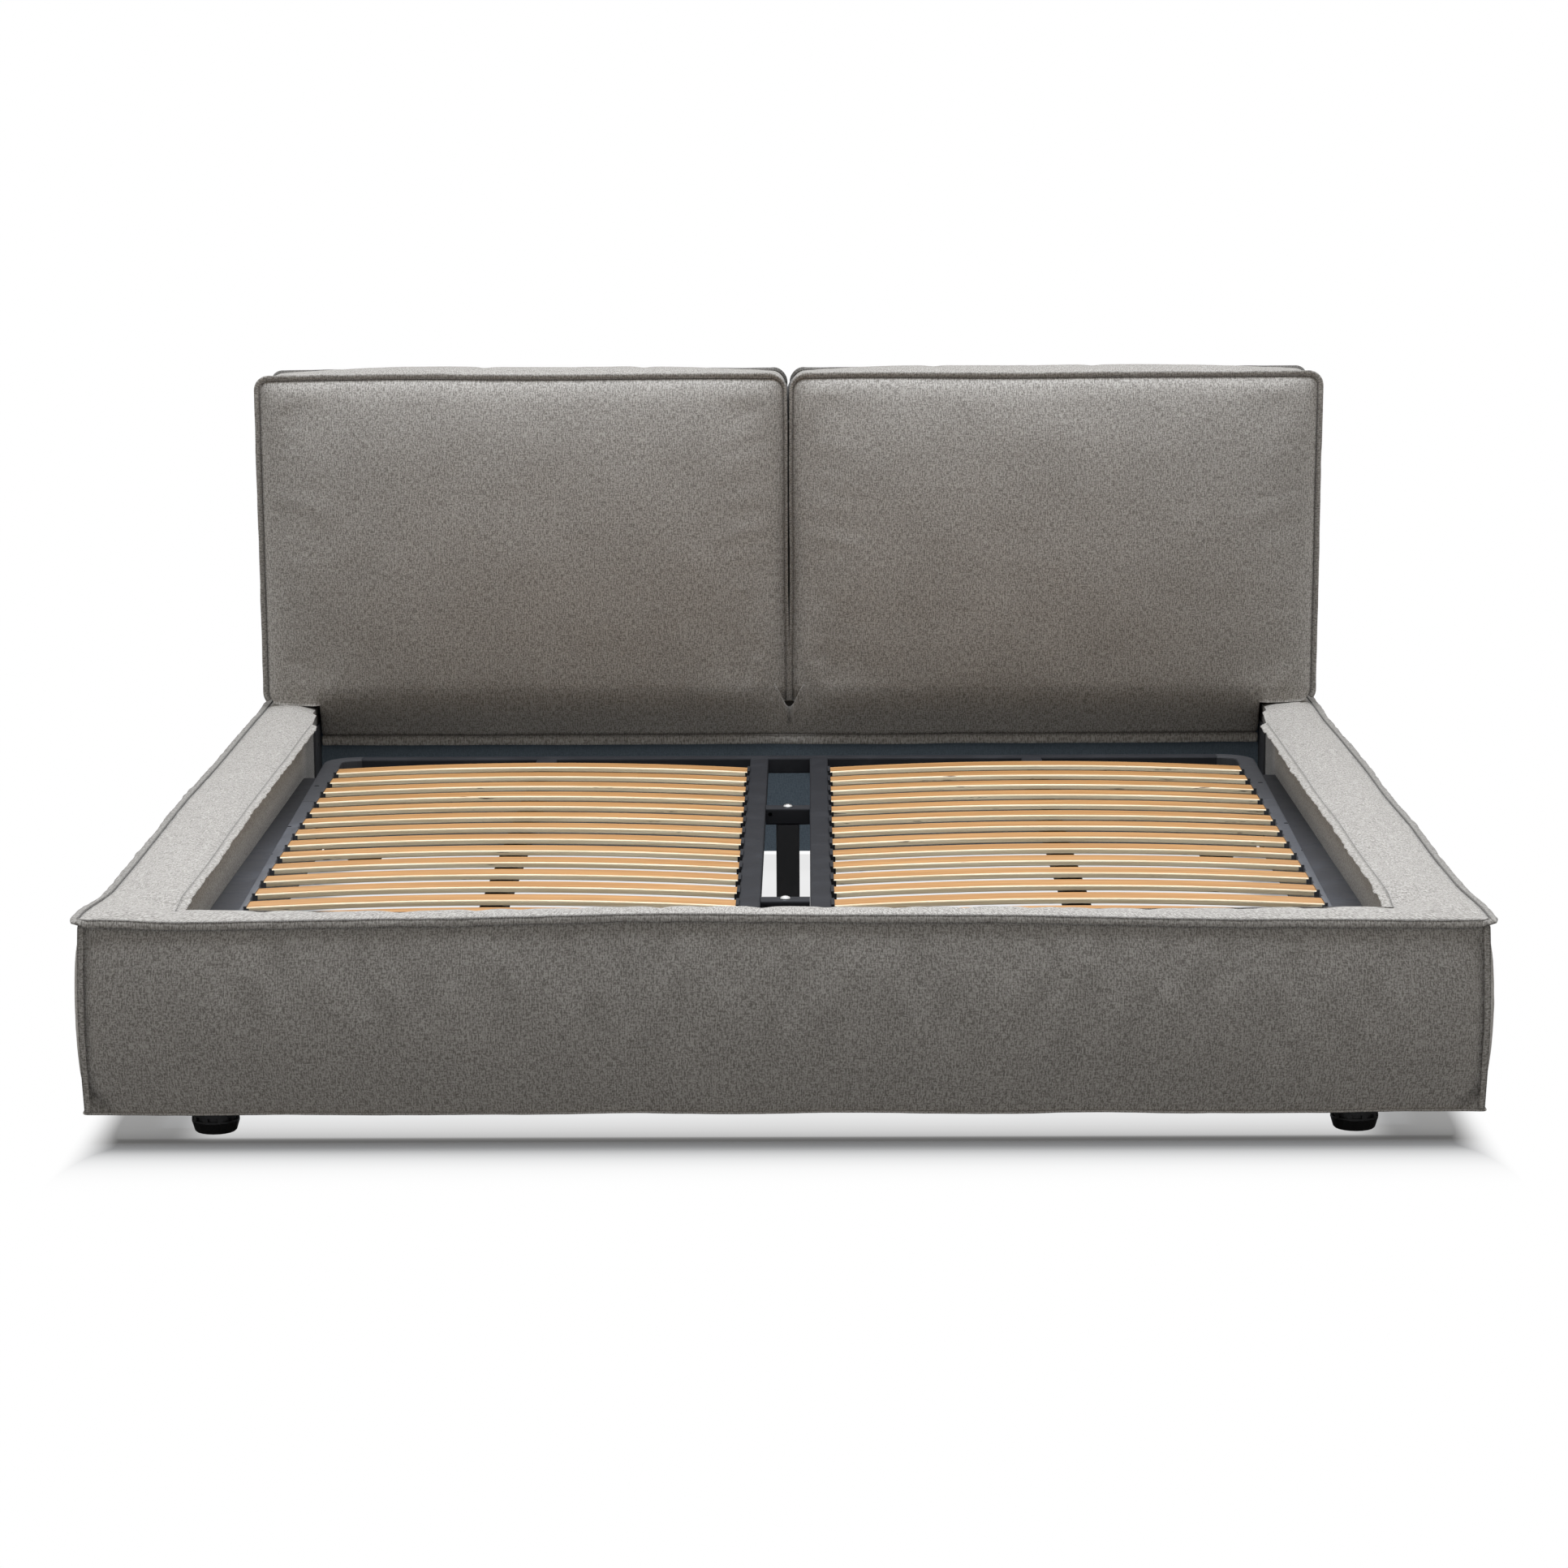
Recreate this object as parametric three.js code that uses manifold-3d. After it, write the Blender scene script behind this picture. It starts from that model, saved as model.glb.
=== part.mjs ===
// Low upholstered double bed: padded surround, steel slat base, two saddle cushions as a headboard.
// Millimetres, +Z up, +Y towards the headboard, origin on the floor under the middle of the bed.

import * as THREE from 'three';
import { mergeVertices } from 'three/addons/utils/BufferGeometryUtils.js';
import Module from 'manifold-3d';

const wasm = await Module();
wasm.setup();

// ---- driving dimensions ----

const fit = 0.3;                 // clearance between pieces that touch

// slat base
const frameWidth = 1800;
const frameLength = 1880;
const frameTop = 268;            // top of the steel tubes above the floor
const tubeWidth = 35;
const tubeHeight = 30;
const tubeWall = 2;
const tubeEdge = 3;              // outer corner radius of the tube section
const bendRadius = 70;           // outside of the bends at the head end
const centreGap = 80;            // between the two inner rails
const midRailWidth = 40;
const crossbarWidth = 40;
const crossbarFromHead = [595, 1475];   // centre of each crossbar, back from the head end
const cableHoleRadius = 4;
const railHoleRadius = 5;
const railHoleFromHead = [345, 785, 1055];
const railJointFromHead = 520;
const jointGroove = 1.2;

// sprung slats and their end holders
const slatPairs = 14;
const slatWidth = 52;
const slatThickness = 9.5;
const slatBow = 13;
const slatPitch = 111;
const slatFromHead = 180;        // centre of the first slat
const slatProud = 1;             // slat end above the tube top
const slatEdge = 4.5;            // rounding of the long edges
const slatEndGap = 1;
const holderLength = 8;
const holderWall = 2;
const holderBack = 0.6;
const holderLip = 4;

// padded surround
const frameToSide = 40;          // tube to padded wall
const frameToFootboard = 19;
const padDepth = 106;            // inner wall to outer seam
const padBottom = 41;
const seamHeight = 338;
const padCrown = 8;
const padBelly = 13;
const bottomTuck = 8;            // bottom seam in from the top seam
const flangeOut = 6;
const overhang = 16;             // top panel past the inner wall
const flangeIn = 15;
const flangeThickness = 4;
const overhangDrop = 26;
const overhangShort = 60;        // side overhang ends before the slat base does
const boardThickness = 30;
const boardInset = 10;
const boardCover = 13;           // foam over the boards' top edges
const boardLap = 25;             // footboard core over the end of a side board
const rearInset = 10;            // side rail short of the headboard's back

// headboard
const frameToPanel = 206;
const panelThickness = 189;      // lined box frame inside the cushions
const panelShell = 18;
const panelPost = 115;           // solid ends that take the feet
const panelTop = 900;
const panelToSide = 5;
const cushionFront = 11;         // panel to the cushion's front seam
const cushionBack = 35;          // panel to the cushion's back
const cushionBelly = 95;
const cushionBellyAt = 0.35;     // height of the fullest point, as a share of the cushion
const cushionBellyFoot = 0.8;    // share of the belly left at the cushion's foot
const cushionTop = 1000;
const cushionCrown = 12;
const cushionInFromSide = 1;     // cushion's side in from the surround's outer seam
const slitHalf = 0.75;
const skirtThickness = 3;
const skirtBottom = 260;
const skirtToPanel = 12;
const skirtInFromPanel = 2;

// steel fittings
const angleThickness = 3;
const angleWidth = 56;
const angleDrop = 38;
const angleInset = 70;           // angle's ends in from the frame's ends
const bracketOnRail = 100;       // in front of the panel's front face
const bracketOnPanel = 90;       // behind it
const bracketHeight = 245;
const bracketFromFloor = 60;
const bracketThickness = 4.4;
const bracketCorner = 8;
const screwRadius = 4;

// centre legs and their bolts
const legWidth = 42;
const legWall = 2;
const legPlate = 4;
const glideHeight = 6;
const glideVent = 5;
const boltRadius = 5;
const boltHeadRadius = 8.5;
const boltHeadHeight = 5;
const boltTail = 8;              // thread below the leg's plate

// levelling feet
const footRadius = 36.6;
const footBaseRadius = 32;
const footFlare = 17;            // height where the base reaches full width
const footLugBottom = 20;
const footLugTop = 26;
const footNeckRadius = 32.5;
const footLugs = 10;
const footLugWidth = 8;
const footStudRadius = 5;
const footStudLength = 45;
const footFromSide = 76;         // foot's centre in from the side wall

// ---- places worked out from the dimensions ----

const wallHalf = frameWidth / 2 + frameToSide;
const seamHalf = wallHalf + padDepth;
const bayHalf = wallHalf - overhang - flangeIn;
const boardTop = seamHeight - boardCover;
const bedLength = padBelly + padDepth + frameToFootboard + frameLength
  + frameToPanel + panelThickness + cushionBack;

const footSeam = -bedLength / 2 + padBelly;
const footWall = footSeam + padDepth;
const frameFoot = footWall + frameToFootboard;
const frameHead = frameFoot + frameLength;
const panelFront = frameHead + frameToPanel;
const panelBack = panelFront + panelThickness;
const bedBack = panelBack + cushionBack;
const sideBack = bedBack - rearInset;
const footBoardFront = footWall - boardInset - boardThickness;
const footBoardBack = footWall - boardInset;

const frameBottom = frameTop - tubeHeight;
const outerFace = frameWidth / 2 - tubeWidth;
const innerFace = centreGap / 2 + tubeWidth;
const slatLength = outerFace - innerFace - 2 * slatEndGap;
const slatMiddle = (outerFace + innerFace) / 2;
const slatEndTop = frameTop + slatProud;
const panelHalf = wallHalf - panelToSide;
const cushionSeam = panelFront - cushionFront;
const cushionBottom = seamHeight + padCrown + fit;
const cushionHalf = seamHalf - cushionInFromSide;
const footX = wallHalf - footFromSide;

// ---- materials ----

const finish = (color, roughness, metalness = 0) =>
  new THREE.MeshStandardMaterial({ color, roughness, metalness });

const linen = finish(0x8d8a84, 0.95);
const lining = finish(0x4d5a63, 0.8);
const beech = finish(0xd39a62, 0.5);
const timber = finish(0xb9996d, 0.7);
const blackSteel = finish(0x3b3c40, 0.45, 0.3);
const brightSteel = finish(0xc9c9c6, 0.25, 1);
const blackPlastic = finish(0x0f0f10, 0.45);

// ---- solids ----

function solid(geometry) {
  const plain = geometry.clone();
  plain.deleteAttribute('normal');
  plain.deleteAttribute('uv');
  const merged = mergeVertices(plain, 1e-4);
  const vertProperties = new Float32Array(merged.attributes.position.array);
  const triVerts = new Uint32Array(merged.index.array);
  return new wasm.Manifold(new wasm.Mesh({ numProp: 3, vertProperties, triVerts }));
}

function geometryOf(body) {
  const { vertProperties, triVerts } = body.getMesh();
  const geometry = new THREE.BufferGeometry();
  geometry.setAttribute('position', new THREE.BufferAttribute(vertProperties.slice(), 3));
  geometry.setIndex(new THREE.BufferAttribute(triVerts.slice(), 1));
  geometry.computeVertexNormals();
  return geometry;
}

function blockGeometry(x, y, z) {
  const geometry = new THREE.BoxGeometry(x[1] - x[0], y[1] - y[0], z[1] - z[0]);
  return geometry.translate((x[0] + x[1]) / 2, (y[0] + y[1]) / 2, (z[0] + z[1]) / 2);
}

const block = (x, y, z) => solid(blockGeometry(x, y, z));

// Each axis draws its outline in the other two, in the order X, Y, Z: (y, z), (x, z) or (x, y).
const turnTo = {
  x: (g) => g.applyMatrix4(new THREE.Matrix4().makeBasis(
    new THREE.Vector3(0, 1, 0), new THREE.Vector3(0, 0, 1), new THREE.Vector3(1, 0, 0))),
  y: (g, from, to) => g.rotateX(Math.PI / 2).translate(0, from + to, 0),
  z: (g) => g,
};

function prismGeometry(outline, axis, from, to, { edge = 0, inset = edge, curveSegments = 4 } = {}) {
  const geometry = new THREE.ExtrudeGeometry(outline, {
    depth: to - from - 2 * edge,
    curveSegments,
    bevelEnabled: edge > 0,
    bevelThickness: edge,
    bevelSize: inset,
    bevelOffset: -inset,
    bevelSegments: 2,
  });
  geometry.translate(0, 0, from + edge);
  return turnTo[axis](geometry, from, to);
}

const prism = (...args) => solid(prismGeometry(...args));

function rod(x, y, z, radius, segments = 12) {
  const geometry = new THREE.CylinderGeometry(radius, radius, z[1] - z[0], segments);
  geometry.rotateX(Math.PI / 2).translate(x, y, (z[0] + z[1]) / 2);
  return solid(geometry);
}

function crossRod(x, y, z, radius, segments = 8) {
  const geometry = new THREE.CylinderGeometry(radius, radius, x[1] - x[0], segments);
  geometry.rotateZ(Math.PI / 2).translate((x[0] + x[1]) / 2, y, z);
  return solid(geometry);
}

function lengthRod(x, y, z, radius, segments = 8) {
  const geometry = new THREE.CylinderGeometry(radius, radius, y[1] - y[0], segments);
  geometry.translate(x, (y[0] + y[1]) / 2, z);
  return solid(geometry);
}

function roundedRect(path, [a0, a1], [b0, b1], radius) {
  path.moveTo(a0 + radius, b0);
  path.lineTo(a1 - radius, b0);
  path.absarc(a1 - radius, b0 + radius, radius, -Math.PI / 2, 0, false);
  path.lineTo(a1, b1 - radius);
  path.absarc(a1 - radius, b1 - radius, radius, 0, Math.PI / 2, false);
  path.lineTo(a0 + radius, b1);
  path.absarc(a0 + radius, b1 - radius, radius, Math.PI / 2, Math.PI, false);
  path.lineTo(a0, b0 + radius);
  path.absarc(a0 + radius, b0 + radius, radius, Math.PI, Math.PI * 1.5, false);
  return path;
}

// A hollow rectangular tube between two planes of an axis.
function tube(axis, [from, to], a, b, wall = tubeWall) {
  const outline = roundedRect(new THREE.Shape(), a, b, tubeEdge);
  const bore = new THREE.Path();
  bore.moveTo(a[0] + wall, b[0] + wall);
  bore.lineTo(a[1] - wall, b[0] + wall);
  bore.lineTo(a[1] - wall, b[1] - wall);
  bore.lineTo(a[0] + wall, b[1] - wall);
  bore.closePath();
  outline.holes.push(bore);
  return prism(outline, axis, from, to, { curveSegments: 1 });
}

const ordered = (a, b) => [Math.min(a, b), Math.max(a, b)];

// ---- slat base ----

const slatAlong = Array.from({ length: slatPairs }, (_, i) => frameHead - slatFromHead - i * slatPitch);
const slatRadius = ((slatLength / 2) ** 2 + slatBow ** 2) / (2 * slatBow);
const slatSweep = Math.asin(slatLength / 2 / slatRadius);

// Bowed strip with rounded long edges; its origin is on the top face, level with its ends.
function slatShape() {
  const quarter = Math.PI / 2;
  const outline = new THREE.Shape();
  outline.absarc(0, 0, slatRadius, quarter + slatSweep, quarter - slatSweep, true);
  outline.absarc(0, 0, slatRadius - slatThickness, quarter - slatSweep, quarter + slatSweep, false);
  const options = { edge: slatEdge, inset: slatEdge - 1, curveSegments: 3 };
  const geometry = prismGeometry(outline, 'y', -slatWidth / 2, slatWidth / 2, options);
  return geometry.translate(0, 0, -slatRadius * Math.cos(slatSweep));
}

// Moulded cap on a rail's face that holds one slat's end; inward is the way from the face to the slat.
function slatHolder(face, inward, y) {
  const at = (distance) => face + inward * distance;
  const halfPocket = slatWidth / 2 + fit;
  const slope = Math.tan(slatSweep);
  const pocketFloor = slatEndTop - slatThickness - fit;
  const lipUnder = slatEndTop + slope * holderLip + fit;
  const top = lipUnder + holderWall - 0.5;
  const cap = block(
    ordered(at(-tubeWall / 2), at(holderLength)),
    [y - halfPocket - holderWall, y + halfPocket + holderWall],
    [pocketFloor - holderWall, top]);
  const pocket = block(
    ordered(at(holderBack), at(holderLength + 1)),
    [y - halfPocket, y + halfPocket],
    [pocketFloor, lipUnder]);
  const mouth = block(
    ordered(at(holderLip), at(holderLength + 1)),
    [y - halfPocket - holderWall - 1, y + halfPocket + holderWall + 1],
    [slatEndTop + slope * holderLip - holderWall, top + 1]);
  return cap.subtract(pocket).subtract(mouth);
}

function withHolders(rail, face, inward) {
  return slatAlong.reduce((body, y) => body.add(slatHolder(face, inward, y)), rail);
}

// Plan of an outer rail: straight from the foot end, then bent in to meet the head bar.
function bentPlan(side, wall) {
  const outer = bendRadius - wall;
  const inner = bendRadius - tubeWidth + wall;
  const past = wall ? 1 : 0;
  const x = (distance) => side * (frameWidth / 2 - distance);
  const centreX = x(bendRadius);
  const centreY = frameHead - bendRadius;
  const plan = new THREE.Shape();
  const start = side > 0 ? 0 : Math.PI;
  const clockwise = side < 0;
  plan.moveTo(x(wall), frameFoot - past);
  plan.absarc(centreX, centreY, outer, start, Math.PI / 2, clockwise);
  plan.lineTo(x(bendRadius + past), frameHead - wall);
  plan.lineTo(x(bendRadius + past), frameHead - tubeWidth + wall);
  plan.absarc(centreX, centreY, inner, Math.PI / 2, start, !clockwise);
  plan.lineTo(x(tubeWidth - wall), frameFoot - past);
  plan.closePath();
  return plan;
}

function outerRail(side) {
  const plain = prism(bentPlan(side, 0), 'z', frameBottom, frameTop, { edge: tubeEdge, curveSegments: 3 });
  const bore = prism(bentPlan(side, tubeWall), 'z', frameBottom + tubeWall, frameTop - tubeWall,
    { curveSegments: 3 });
  const middle = side * (frameWidth / 2 - tubeWidth / 2);
  const across = ordered(side * (outerFace - 1), side * (frameWidth / 2 + 1));
  const jointY = frameHead - railJointFromHead;
  let rail = plain.subtract(bore);
  const throughTop = [frameTop - tubeWall - 1, frameTop + 1];
  for (const back of railHoleFromHead) {
    rail = rail.subtract(rod(middle, frameHead - back, throughTop, railHoleRadius));
  }
  rail = rail.subtract(block(across, [jointY - jointGroove / 2, jointY + jointGroove / 2],
    [frameTop - tubeWall / 2, frameTop + 1]));
  return withHolders(rail, side * outerFace, -side);
}

function innerRail(side) {
  const across = ordered(side * centreGap / 2, side * innerFace);
  const along = [frameFoot + tubeWidth + fit, frameHead - tubeWidth - fit];
  return withHolders(tube('y', along, across, [frameBottom, frameTop]), side * innerFace, side);
}

function midRail(side) {
  const across = ordered(side * (slatMiddle - midRailWidth / 2), side * (slatMiddle + midRailWidth / 2));
  const along = [frameFoot + tubeWidth + fit, frameHead - tubeWidth - fit];
  return tube('y', along, across, [frameBottom, frameTop]);
}

const crossbarY = crossbarFromHead.map((back) => frameHead - back);

// Short tie across the centre gap, drilled for the centre leg's bolt and a cable tie at one end.
function crossbar(y) {
  const half = centreGap / 2 - fit;
  const along = [y - crossbarWidth / 2, y + crossbarWidth / 2];
  const bar = tube('x', [-half, half], along, [frameBottom, frameTop]);
  const boltHole = rod(0, y, [frameBottom - 1, frameTop + 1], boltRadius + fit);
  const tieHole = lengthRod(-half + 2 * cableHoleRadius, [y - crossbarWidth, y],
    (frameBottom + frameTop) / 2 + cableHoleRadius, cableHoleRadius);
  return bar.subtract(boltHole).subtract(tieHole);
}

// Square tube with a drilled top plate, closed below by a vented glide.
function centreLeg(y) {
  const half = legWidth / 2;
  const top = frameBottom - fit;
  const post = tube('z', [0, top], [-half, half], [y - half, y + half], legWall);
  const inside = [-half + legWall / 2, half - legWall / 2];
  const insideY = [y - half + legWall / 2, y + half - legWall / 2];
  const plate = block(inside, insideY, [top - legPlate, top])
    .subtract(rod(0, y, [top - legPlate - 1, top + 1], boltRadius + fit));
  const glide = block(inside, insideY, [0, glideHeight])
    .subtract(rod(0, y, [-1, glideHeight + 1], glideVent));
  return post.add(plate).add(glide);
}

// Dome-headed bolt, origin at the seat of its head.
function bolt() {
  const tail = tubeHeight + fit + legPlate + boltTail;
  const profile = [
    [0, -tail], [boltRadius - 1, -tail], [boltRadius, -tail + 1], [boltRadius, fit],
    [boltHeadRadius, fit], [boltHeadRadius, fit + 1],
  ];
  for (const step of [0.4, 0.75]) {
    const angle = step * Math.PI / 2;
    profile.push([boltHeadRadius * Math.cos(angle), fit + 1 + (boltHeadHeight - 1) * Math.sin(angle)]);
  }
  profile.push([0, fit + boltHeadHeight]);
  const geometry = new THREE.LatheGeometry(profile.map(([r, z]) => new THREE.Vector2(r, z)), 16);
  return geometryOf(solid(geometry.rotateX(Math.PI / 2)));
}

// ---- padded surround ----

// Section of a rail pad; at(s) turns the distance out from the inner wall into a coordinate.
// The top panel hangs over the inner wall and ends in a flange on both sides.
function padSection(at) {
  const shape = new THREE.Shape();
  const line = (s, z) => shape.lineTo(at(s), z);
  const curve = (s1, z1, s2, z2) => shape.quadraticCurveTo(at(s1), z1, at(s2), z2);
  const round = bottomTuck;
  const foot = padDepth - bottomTuck;
  const middle = (padBottom + seamHeight) / 2;
  const flangeTop = seamHeight - flangeThickness;
  shape.moveTo(at(round), padBottom);
  line(foot - round, padBottom);
  curve(foot, padBottom, foot + bottomTuck / 2, padBottom + round);
  curve(padDepth + 2 * padBelly + bottomTuck / 4, middle, padDepth, flangeTop);
  line(padDepth + flangeOut, flangeTop);
  line(padDepth + flangeOut, seamHeight);
  line(padDepth, seamHeight);
  curve((padDepth - overhang) / 2, seamHeight + 2 * padCrown, -overhang, seamHeight);
  line(-overhang - flangeIn, flangeTop);
  line(-overhang - flangeIn, flangeTop - flangeThickness);
  line(-overhang, flangeTop);
  curve(-overhang / 3, seamHeight - overhangDrop / 2, 0, seamHeight - overhangDrop);
  line(0, padBottom + round);
  curve(0, padBottom, round, padBottom);
  return shape;
}

const grown = (x, y, z) => block([x[0] - fit, x[1] + fit], [y[0] - fit, y[1] + fit], [z[0] - 1, z[1] + fit]);

const footBoardBox = [
  [-wallHalf - boardInset - boardLap, wallHalf + boardInset + boardLap],
  [footBoardFront, footBoardBack],
  [padBottom, boardTop],
];

const sideBoardBox = (side) => [
  ordered(side * (wallHalf + boardInset), side * (wallHalf + boardInset + boardThickness)),
  [footBoardBack + fit, sideBack - rearInset],
  [padBottom, boardTop],
];

const studBore = (x, y) =>
  rod(x, y, [padBottom - 1, padBottom + footStudLength + 2], footStudRadius + 2 * fit);

function footBoard() {
  const y = (footBoardFront + footBoardBack) / 2;
  return block(...footBoardBox).subtract(studBore(footX, y)).subtract(studBore(-footX, y));
}

// A side rail's overhang stops short of the headboard, which reaches from wall to wall.
function sidePad(side) {
  const section = padSection((s) => side * (wallHalf + s));
  const rear = block(ordered(side * (bayHalf - 1), side * wallHalf),
    [frameHead - overhangShort, sideBack + 1], [padBottom, cushionBottom]);
  return prism(section, 'y', footWall + fit, sideBack, { curveSegments: 6 })
    .subtract(rear)
    .subtract(grown(...sideBoardBox(side)));
}

// The footboard's overhang stops where the side pads begin.
function footPad() {
  const section = padSection((s) => footWall - s);
  let pad = prism(section, 'x', -seamHalf, seamHalf, { curveSegments: 6 })
    .subtract(grown(...footBoardBox));
  for (const side of [-1, 1]) {
    const end = ordered(side * (bayHalf - fit), side * (seamHalf + 1));
    pad = pad
      .subtract(block(end, [footWall, footWall + overhang + flangeIn + 1], [padBottom, cushionBottom]))
      .subtract(grown(...sideBoardBox(side)));
  }
  return pad;
}

// Steel angle on a side wall that carries the slat base.
function supportAngle(side) {
  const at = (s) => side * (wallHalf - fit - s);
  const top = frameBottom - fit;
  const shape = new THREE.Shape();
  shape.moveTo(at(0), top);
  shape.lineTo(at(angleWidth), top);
  shape.lineTo(at(angleWidth), top - angleThickness);
  shape.lineTo(at(angleThickness), top - angleThickness);
  shape.lineTo(at(angleThickness), top - angleDrop);
  shape.lineTo(at(0), top - angleDrop);
  shape.closePath();
  const along = [frameFoot + angleInset, frameHead - angleInset];
  let angle = prism(shape, 'y', ...along);
  const across = ordered(at(-1), at(angleThickness + 1));
  for (const share of [0.05, 0.35, 0.65, 0.95]) {
    const y = THREE.MathUtils.lerp(along[0], along[1], share);
    angle = angle.subtract(crossRod(across, y, top - angleDrop / 2, screwRadius));
  }
  return angle;
}

// ---- headboard ----

// Lined box frame, hollow and open below between its end posts.
function headPanel() {
  const y = (panelFront + panelBack) / 2;
  const hollow = block([-panelHalf + panelPost, panelHalf - panelPost],
    [panelFront + panelShell, panelBack - panelShell], [padBottom - 1, panelTop - panelShell]);
  return block([-panelHalf, panelHalf], [panelFront, panelBack], [padBottom, panelTop])
    .subtract(hollow)
    .subtract(studBore(footX, y))
    .subtract(studBore(-footX, y));
}

// Crown of the cushion's face, up its height and across its width.
function bellyAt(up, across) {
  const above = up > cushionBellyAt;
  const reach = above
    ? (up - cushionBellyAt) / (1 - cushionBellyAt) * Math.PI / 2
    : (cushionBellyAt - up) / cushionBellyAt * Math.acos(cushionBellyFoot);
  return cushionBelly * Math.cos(reach) * Math.sqrt(1 - across ** 6);
}

// Right saddle cushion: full face, rounded corners, and a pocket from below that drops over the panel.
function cushion() {
  const half = (cushionHalf - slitHalf) / 2;
  const middle = slitHalf + half;
  const height = cushionTop - cushionCrown - cushionBottom;
  const geometry = new THREE.BoxGeometry(2, 2, 2, 8, 4, 8);
  const position = geometry.attributes.position;
  const corner = 12;
  for (let i = 0; i < position.count; i += 1) {
    const u = position.getX(i);
    const v = position.getY(i);
    const w = position.getZ(i);
    const reach = Math.max(Math.abs(u), Math.abs(w));
    const round = reach === 0 ? 1 : reach / (Math.abs(u) ** corner + Math.abs(w) ** corner) ** (1 / corner);
    const up = THREE.MathUtils.clamp((w * round + 1) / 2, 0, 1);
    const across = THREE.MathUtils.clamp(u * round, -1, 1);
    const front = cushionSeam - bellyAt(up, across);
    const crown = cushionCrown * (1 - across ** 4) * (1 - v ** 2) * Math.max(w, 0);
    position.setXYZ(i,
      middle + half * across,
      THREE.MathUtils.lerp(front, bedBack, (v + 1) / 2),
      cushionBottom + height * up + crown);
  }
  const pocket = block([-1, panelHalf + fit], [panelFront - fit, panelBack + fit], [0, panelTop + fit]);
  return geometryOf(solid(geometry).subtract(pocket));
}

// The same piece on the other side of the bed, with its faces turned to point out again.
function mirrored(geometry) {
  const copy = geometry.clone().scale(-1, 1, 1);
  const index = copy.index;
  for (let i = 0; i < index.count; i += 3) {
    const first = index.getX(i);
    index.setX(i, index.getX(i + 1));
    index.setX(i + 1, first);
  }
  copy.computeVertexNormals();
  return copy;
}

// Front cover below the cushions, drawn in to the panel and ending in a hem.
function skirt() {
  const top = cushionBottom - fit;
  const start = cushionSeam - cushionBelly * cushionBellyFoot + skirtThickness;
  const hem = panelFront - skirtToPanel - skirtThickness;
  const shape = new THREE.Shape();
  shape.moveTo(start, top);
  shape.quadraticCurveTo(start + skirtToPanel, (top + skirtBottom) / 2, hem, skirtBottom);
  shape.lineTo(hem + skirtThickness, skirtBottom);
  shape.quadraticCurveTo(start + skirtToPanel + skirtThickness, (top + skirtBottom) / 2 + skirtThickness,
    start + skirtThickness, top);
  shape.closePath();
  const half = panelHalf - skirtInFromPanel;
  return prism(shape, 'x', -half, half, { curveSegments: 6 });
}

// Flat steel plate in the gap beside the panel, screwed to the panel's end and to the side rail.
function headBracket(side) {
  const along = [panelFront - bracketOnRail, panelFront + bracketOnPanel];
  const upright = [bracketFromFloor, bracketFromFloor + bracketHeight];
  const outline = roundedRect(new THREE.Shape(), along, upright, bracketCorner);
  for (const y of [panelFront - bracketOnRail / 2, panelFront + bracketOnPanel / 2]) {
    for (const share of [0.15, 0.5, 0.85]) {
      const hole = new THREE.Path();
      hole.absarc(y, THREE.MathUtils.lerp(...upright, share), screwRadius, 0, Math.PI * 2, true);
      outline.holes.push(hole);
    }
  }
  const inside = panelHalf + fit;
  return prism(outline, 'x', ...ordered(side * inside, side * (inside + bracketThickness)));
}

// ---- levelling feet ----

// Two-part foot with castellations between base and collar; origin on the floor under its stud.
function levellingFoot() {
  const top = padBottom - fit;
  const profile = [
    [0, 0], [footBaseRadius - 2, 0], [footBaseRadius, 2], [footRadius - 1, footFlare - 3],
    [footRadius, footFlare], [footRadius, footLugBottom], [footNeckRadius, footLugBottom],
    [footNeckRadius, footLugTop], [footRadius, footLugTop], [footRadius, top],
    [footStudRadius, top], [footStudRadius, top + footStudLength - 2],
    [footStudRadius - 2, top + footStudLength], [0, top + footStudLength],
  ];
  const body = new THREE.LatheGeometry(profile.map(([r, z]) => new THREE.Vector2(r, z)), 20);
  let foot = solid(body.rotateX(Math.PI / 2));
  for (let i = 0; i < footLugs; i += 1) {
    const lug = blockGeometry([footNeckRadius - 2, footRadius - 1], [-footLugWidth / 2, footLugWidth / 2],
      [footLugBottom - 1, footLugTop + 1]);
    foot = foot.add(solid(lug.rotateZ(i / footLugs * Math.PI * 2)));
  }
  return geometryOf(foot);
}

// ---- assembly ----

const bed = new THREE.Group();
const slatBase = new THREE.Group();
const surround = new THREE.Group();
const headboard = new THREE.Group();
const feet = new THREE.Group();
bed.add(slatBase, surround, headboard, feet);

function place(group, name, shape, material, position = [0, 0, 0]) {
  const geometry = shape.isBufferGeometry ? shape : geometryOf(shape);
  const mesh = new THREE.Mesh(geometry, material);
  mesh.name = name;
  mesh.position.set(...position);
  group.add(mesh);
}

const sides = [['left', -1], ['right', 1]];
const footAlong = [['front', (footBoardFront + footBoardBack) / 2], ['rear', (panelFront + panelBack) / 2]];
const slatGeometry = slatShape();
const boltGeometry = bolt();
const footGeometry = levellingFoot();
const barSpan = frameWidth / 2 - bendRadius - fit;
const footBarSpan = outerFace - fit;
const cushionGeometry = cushion();

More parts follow.
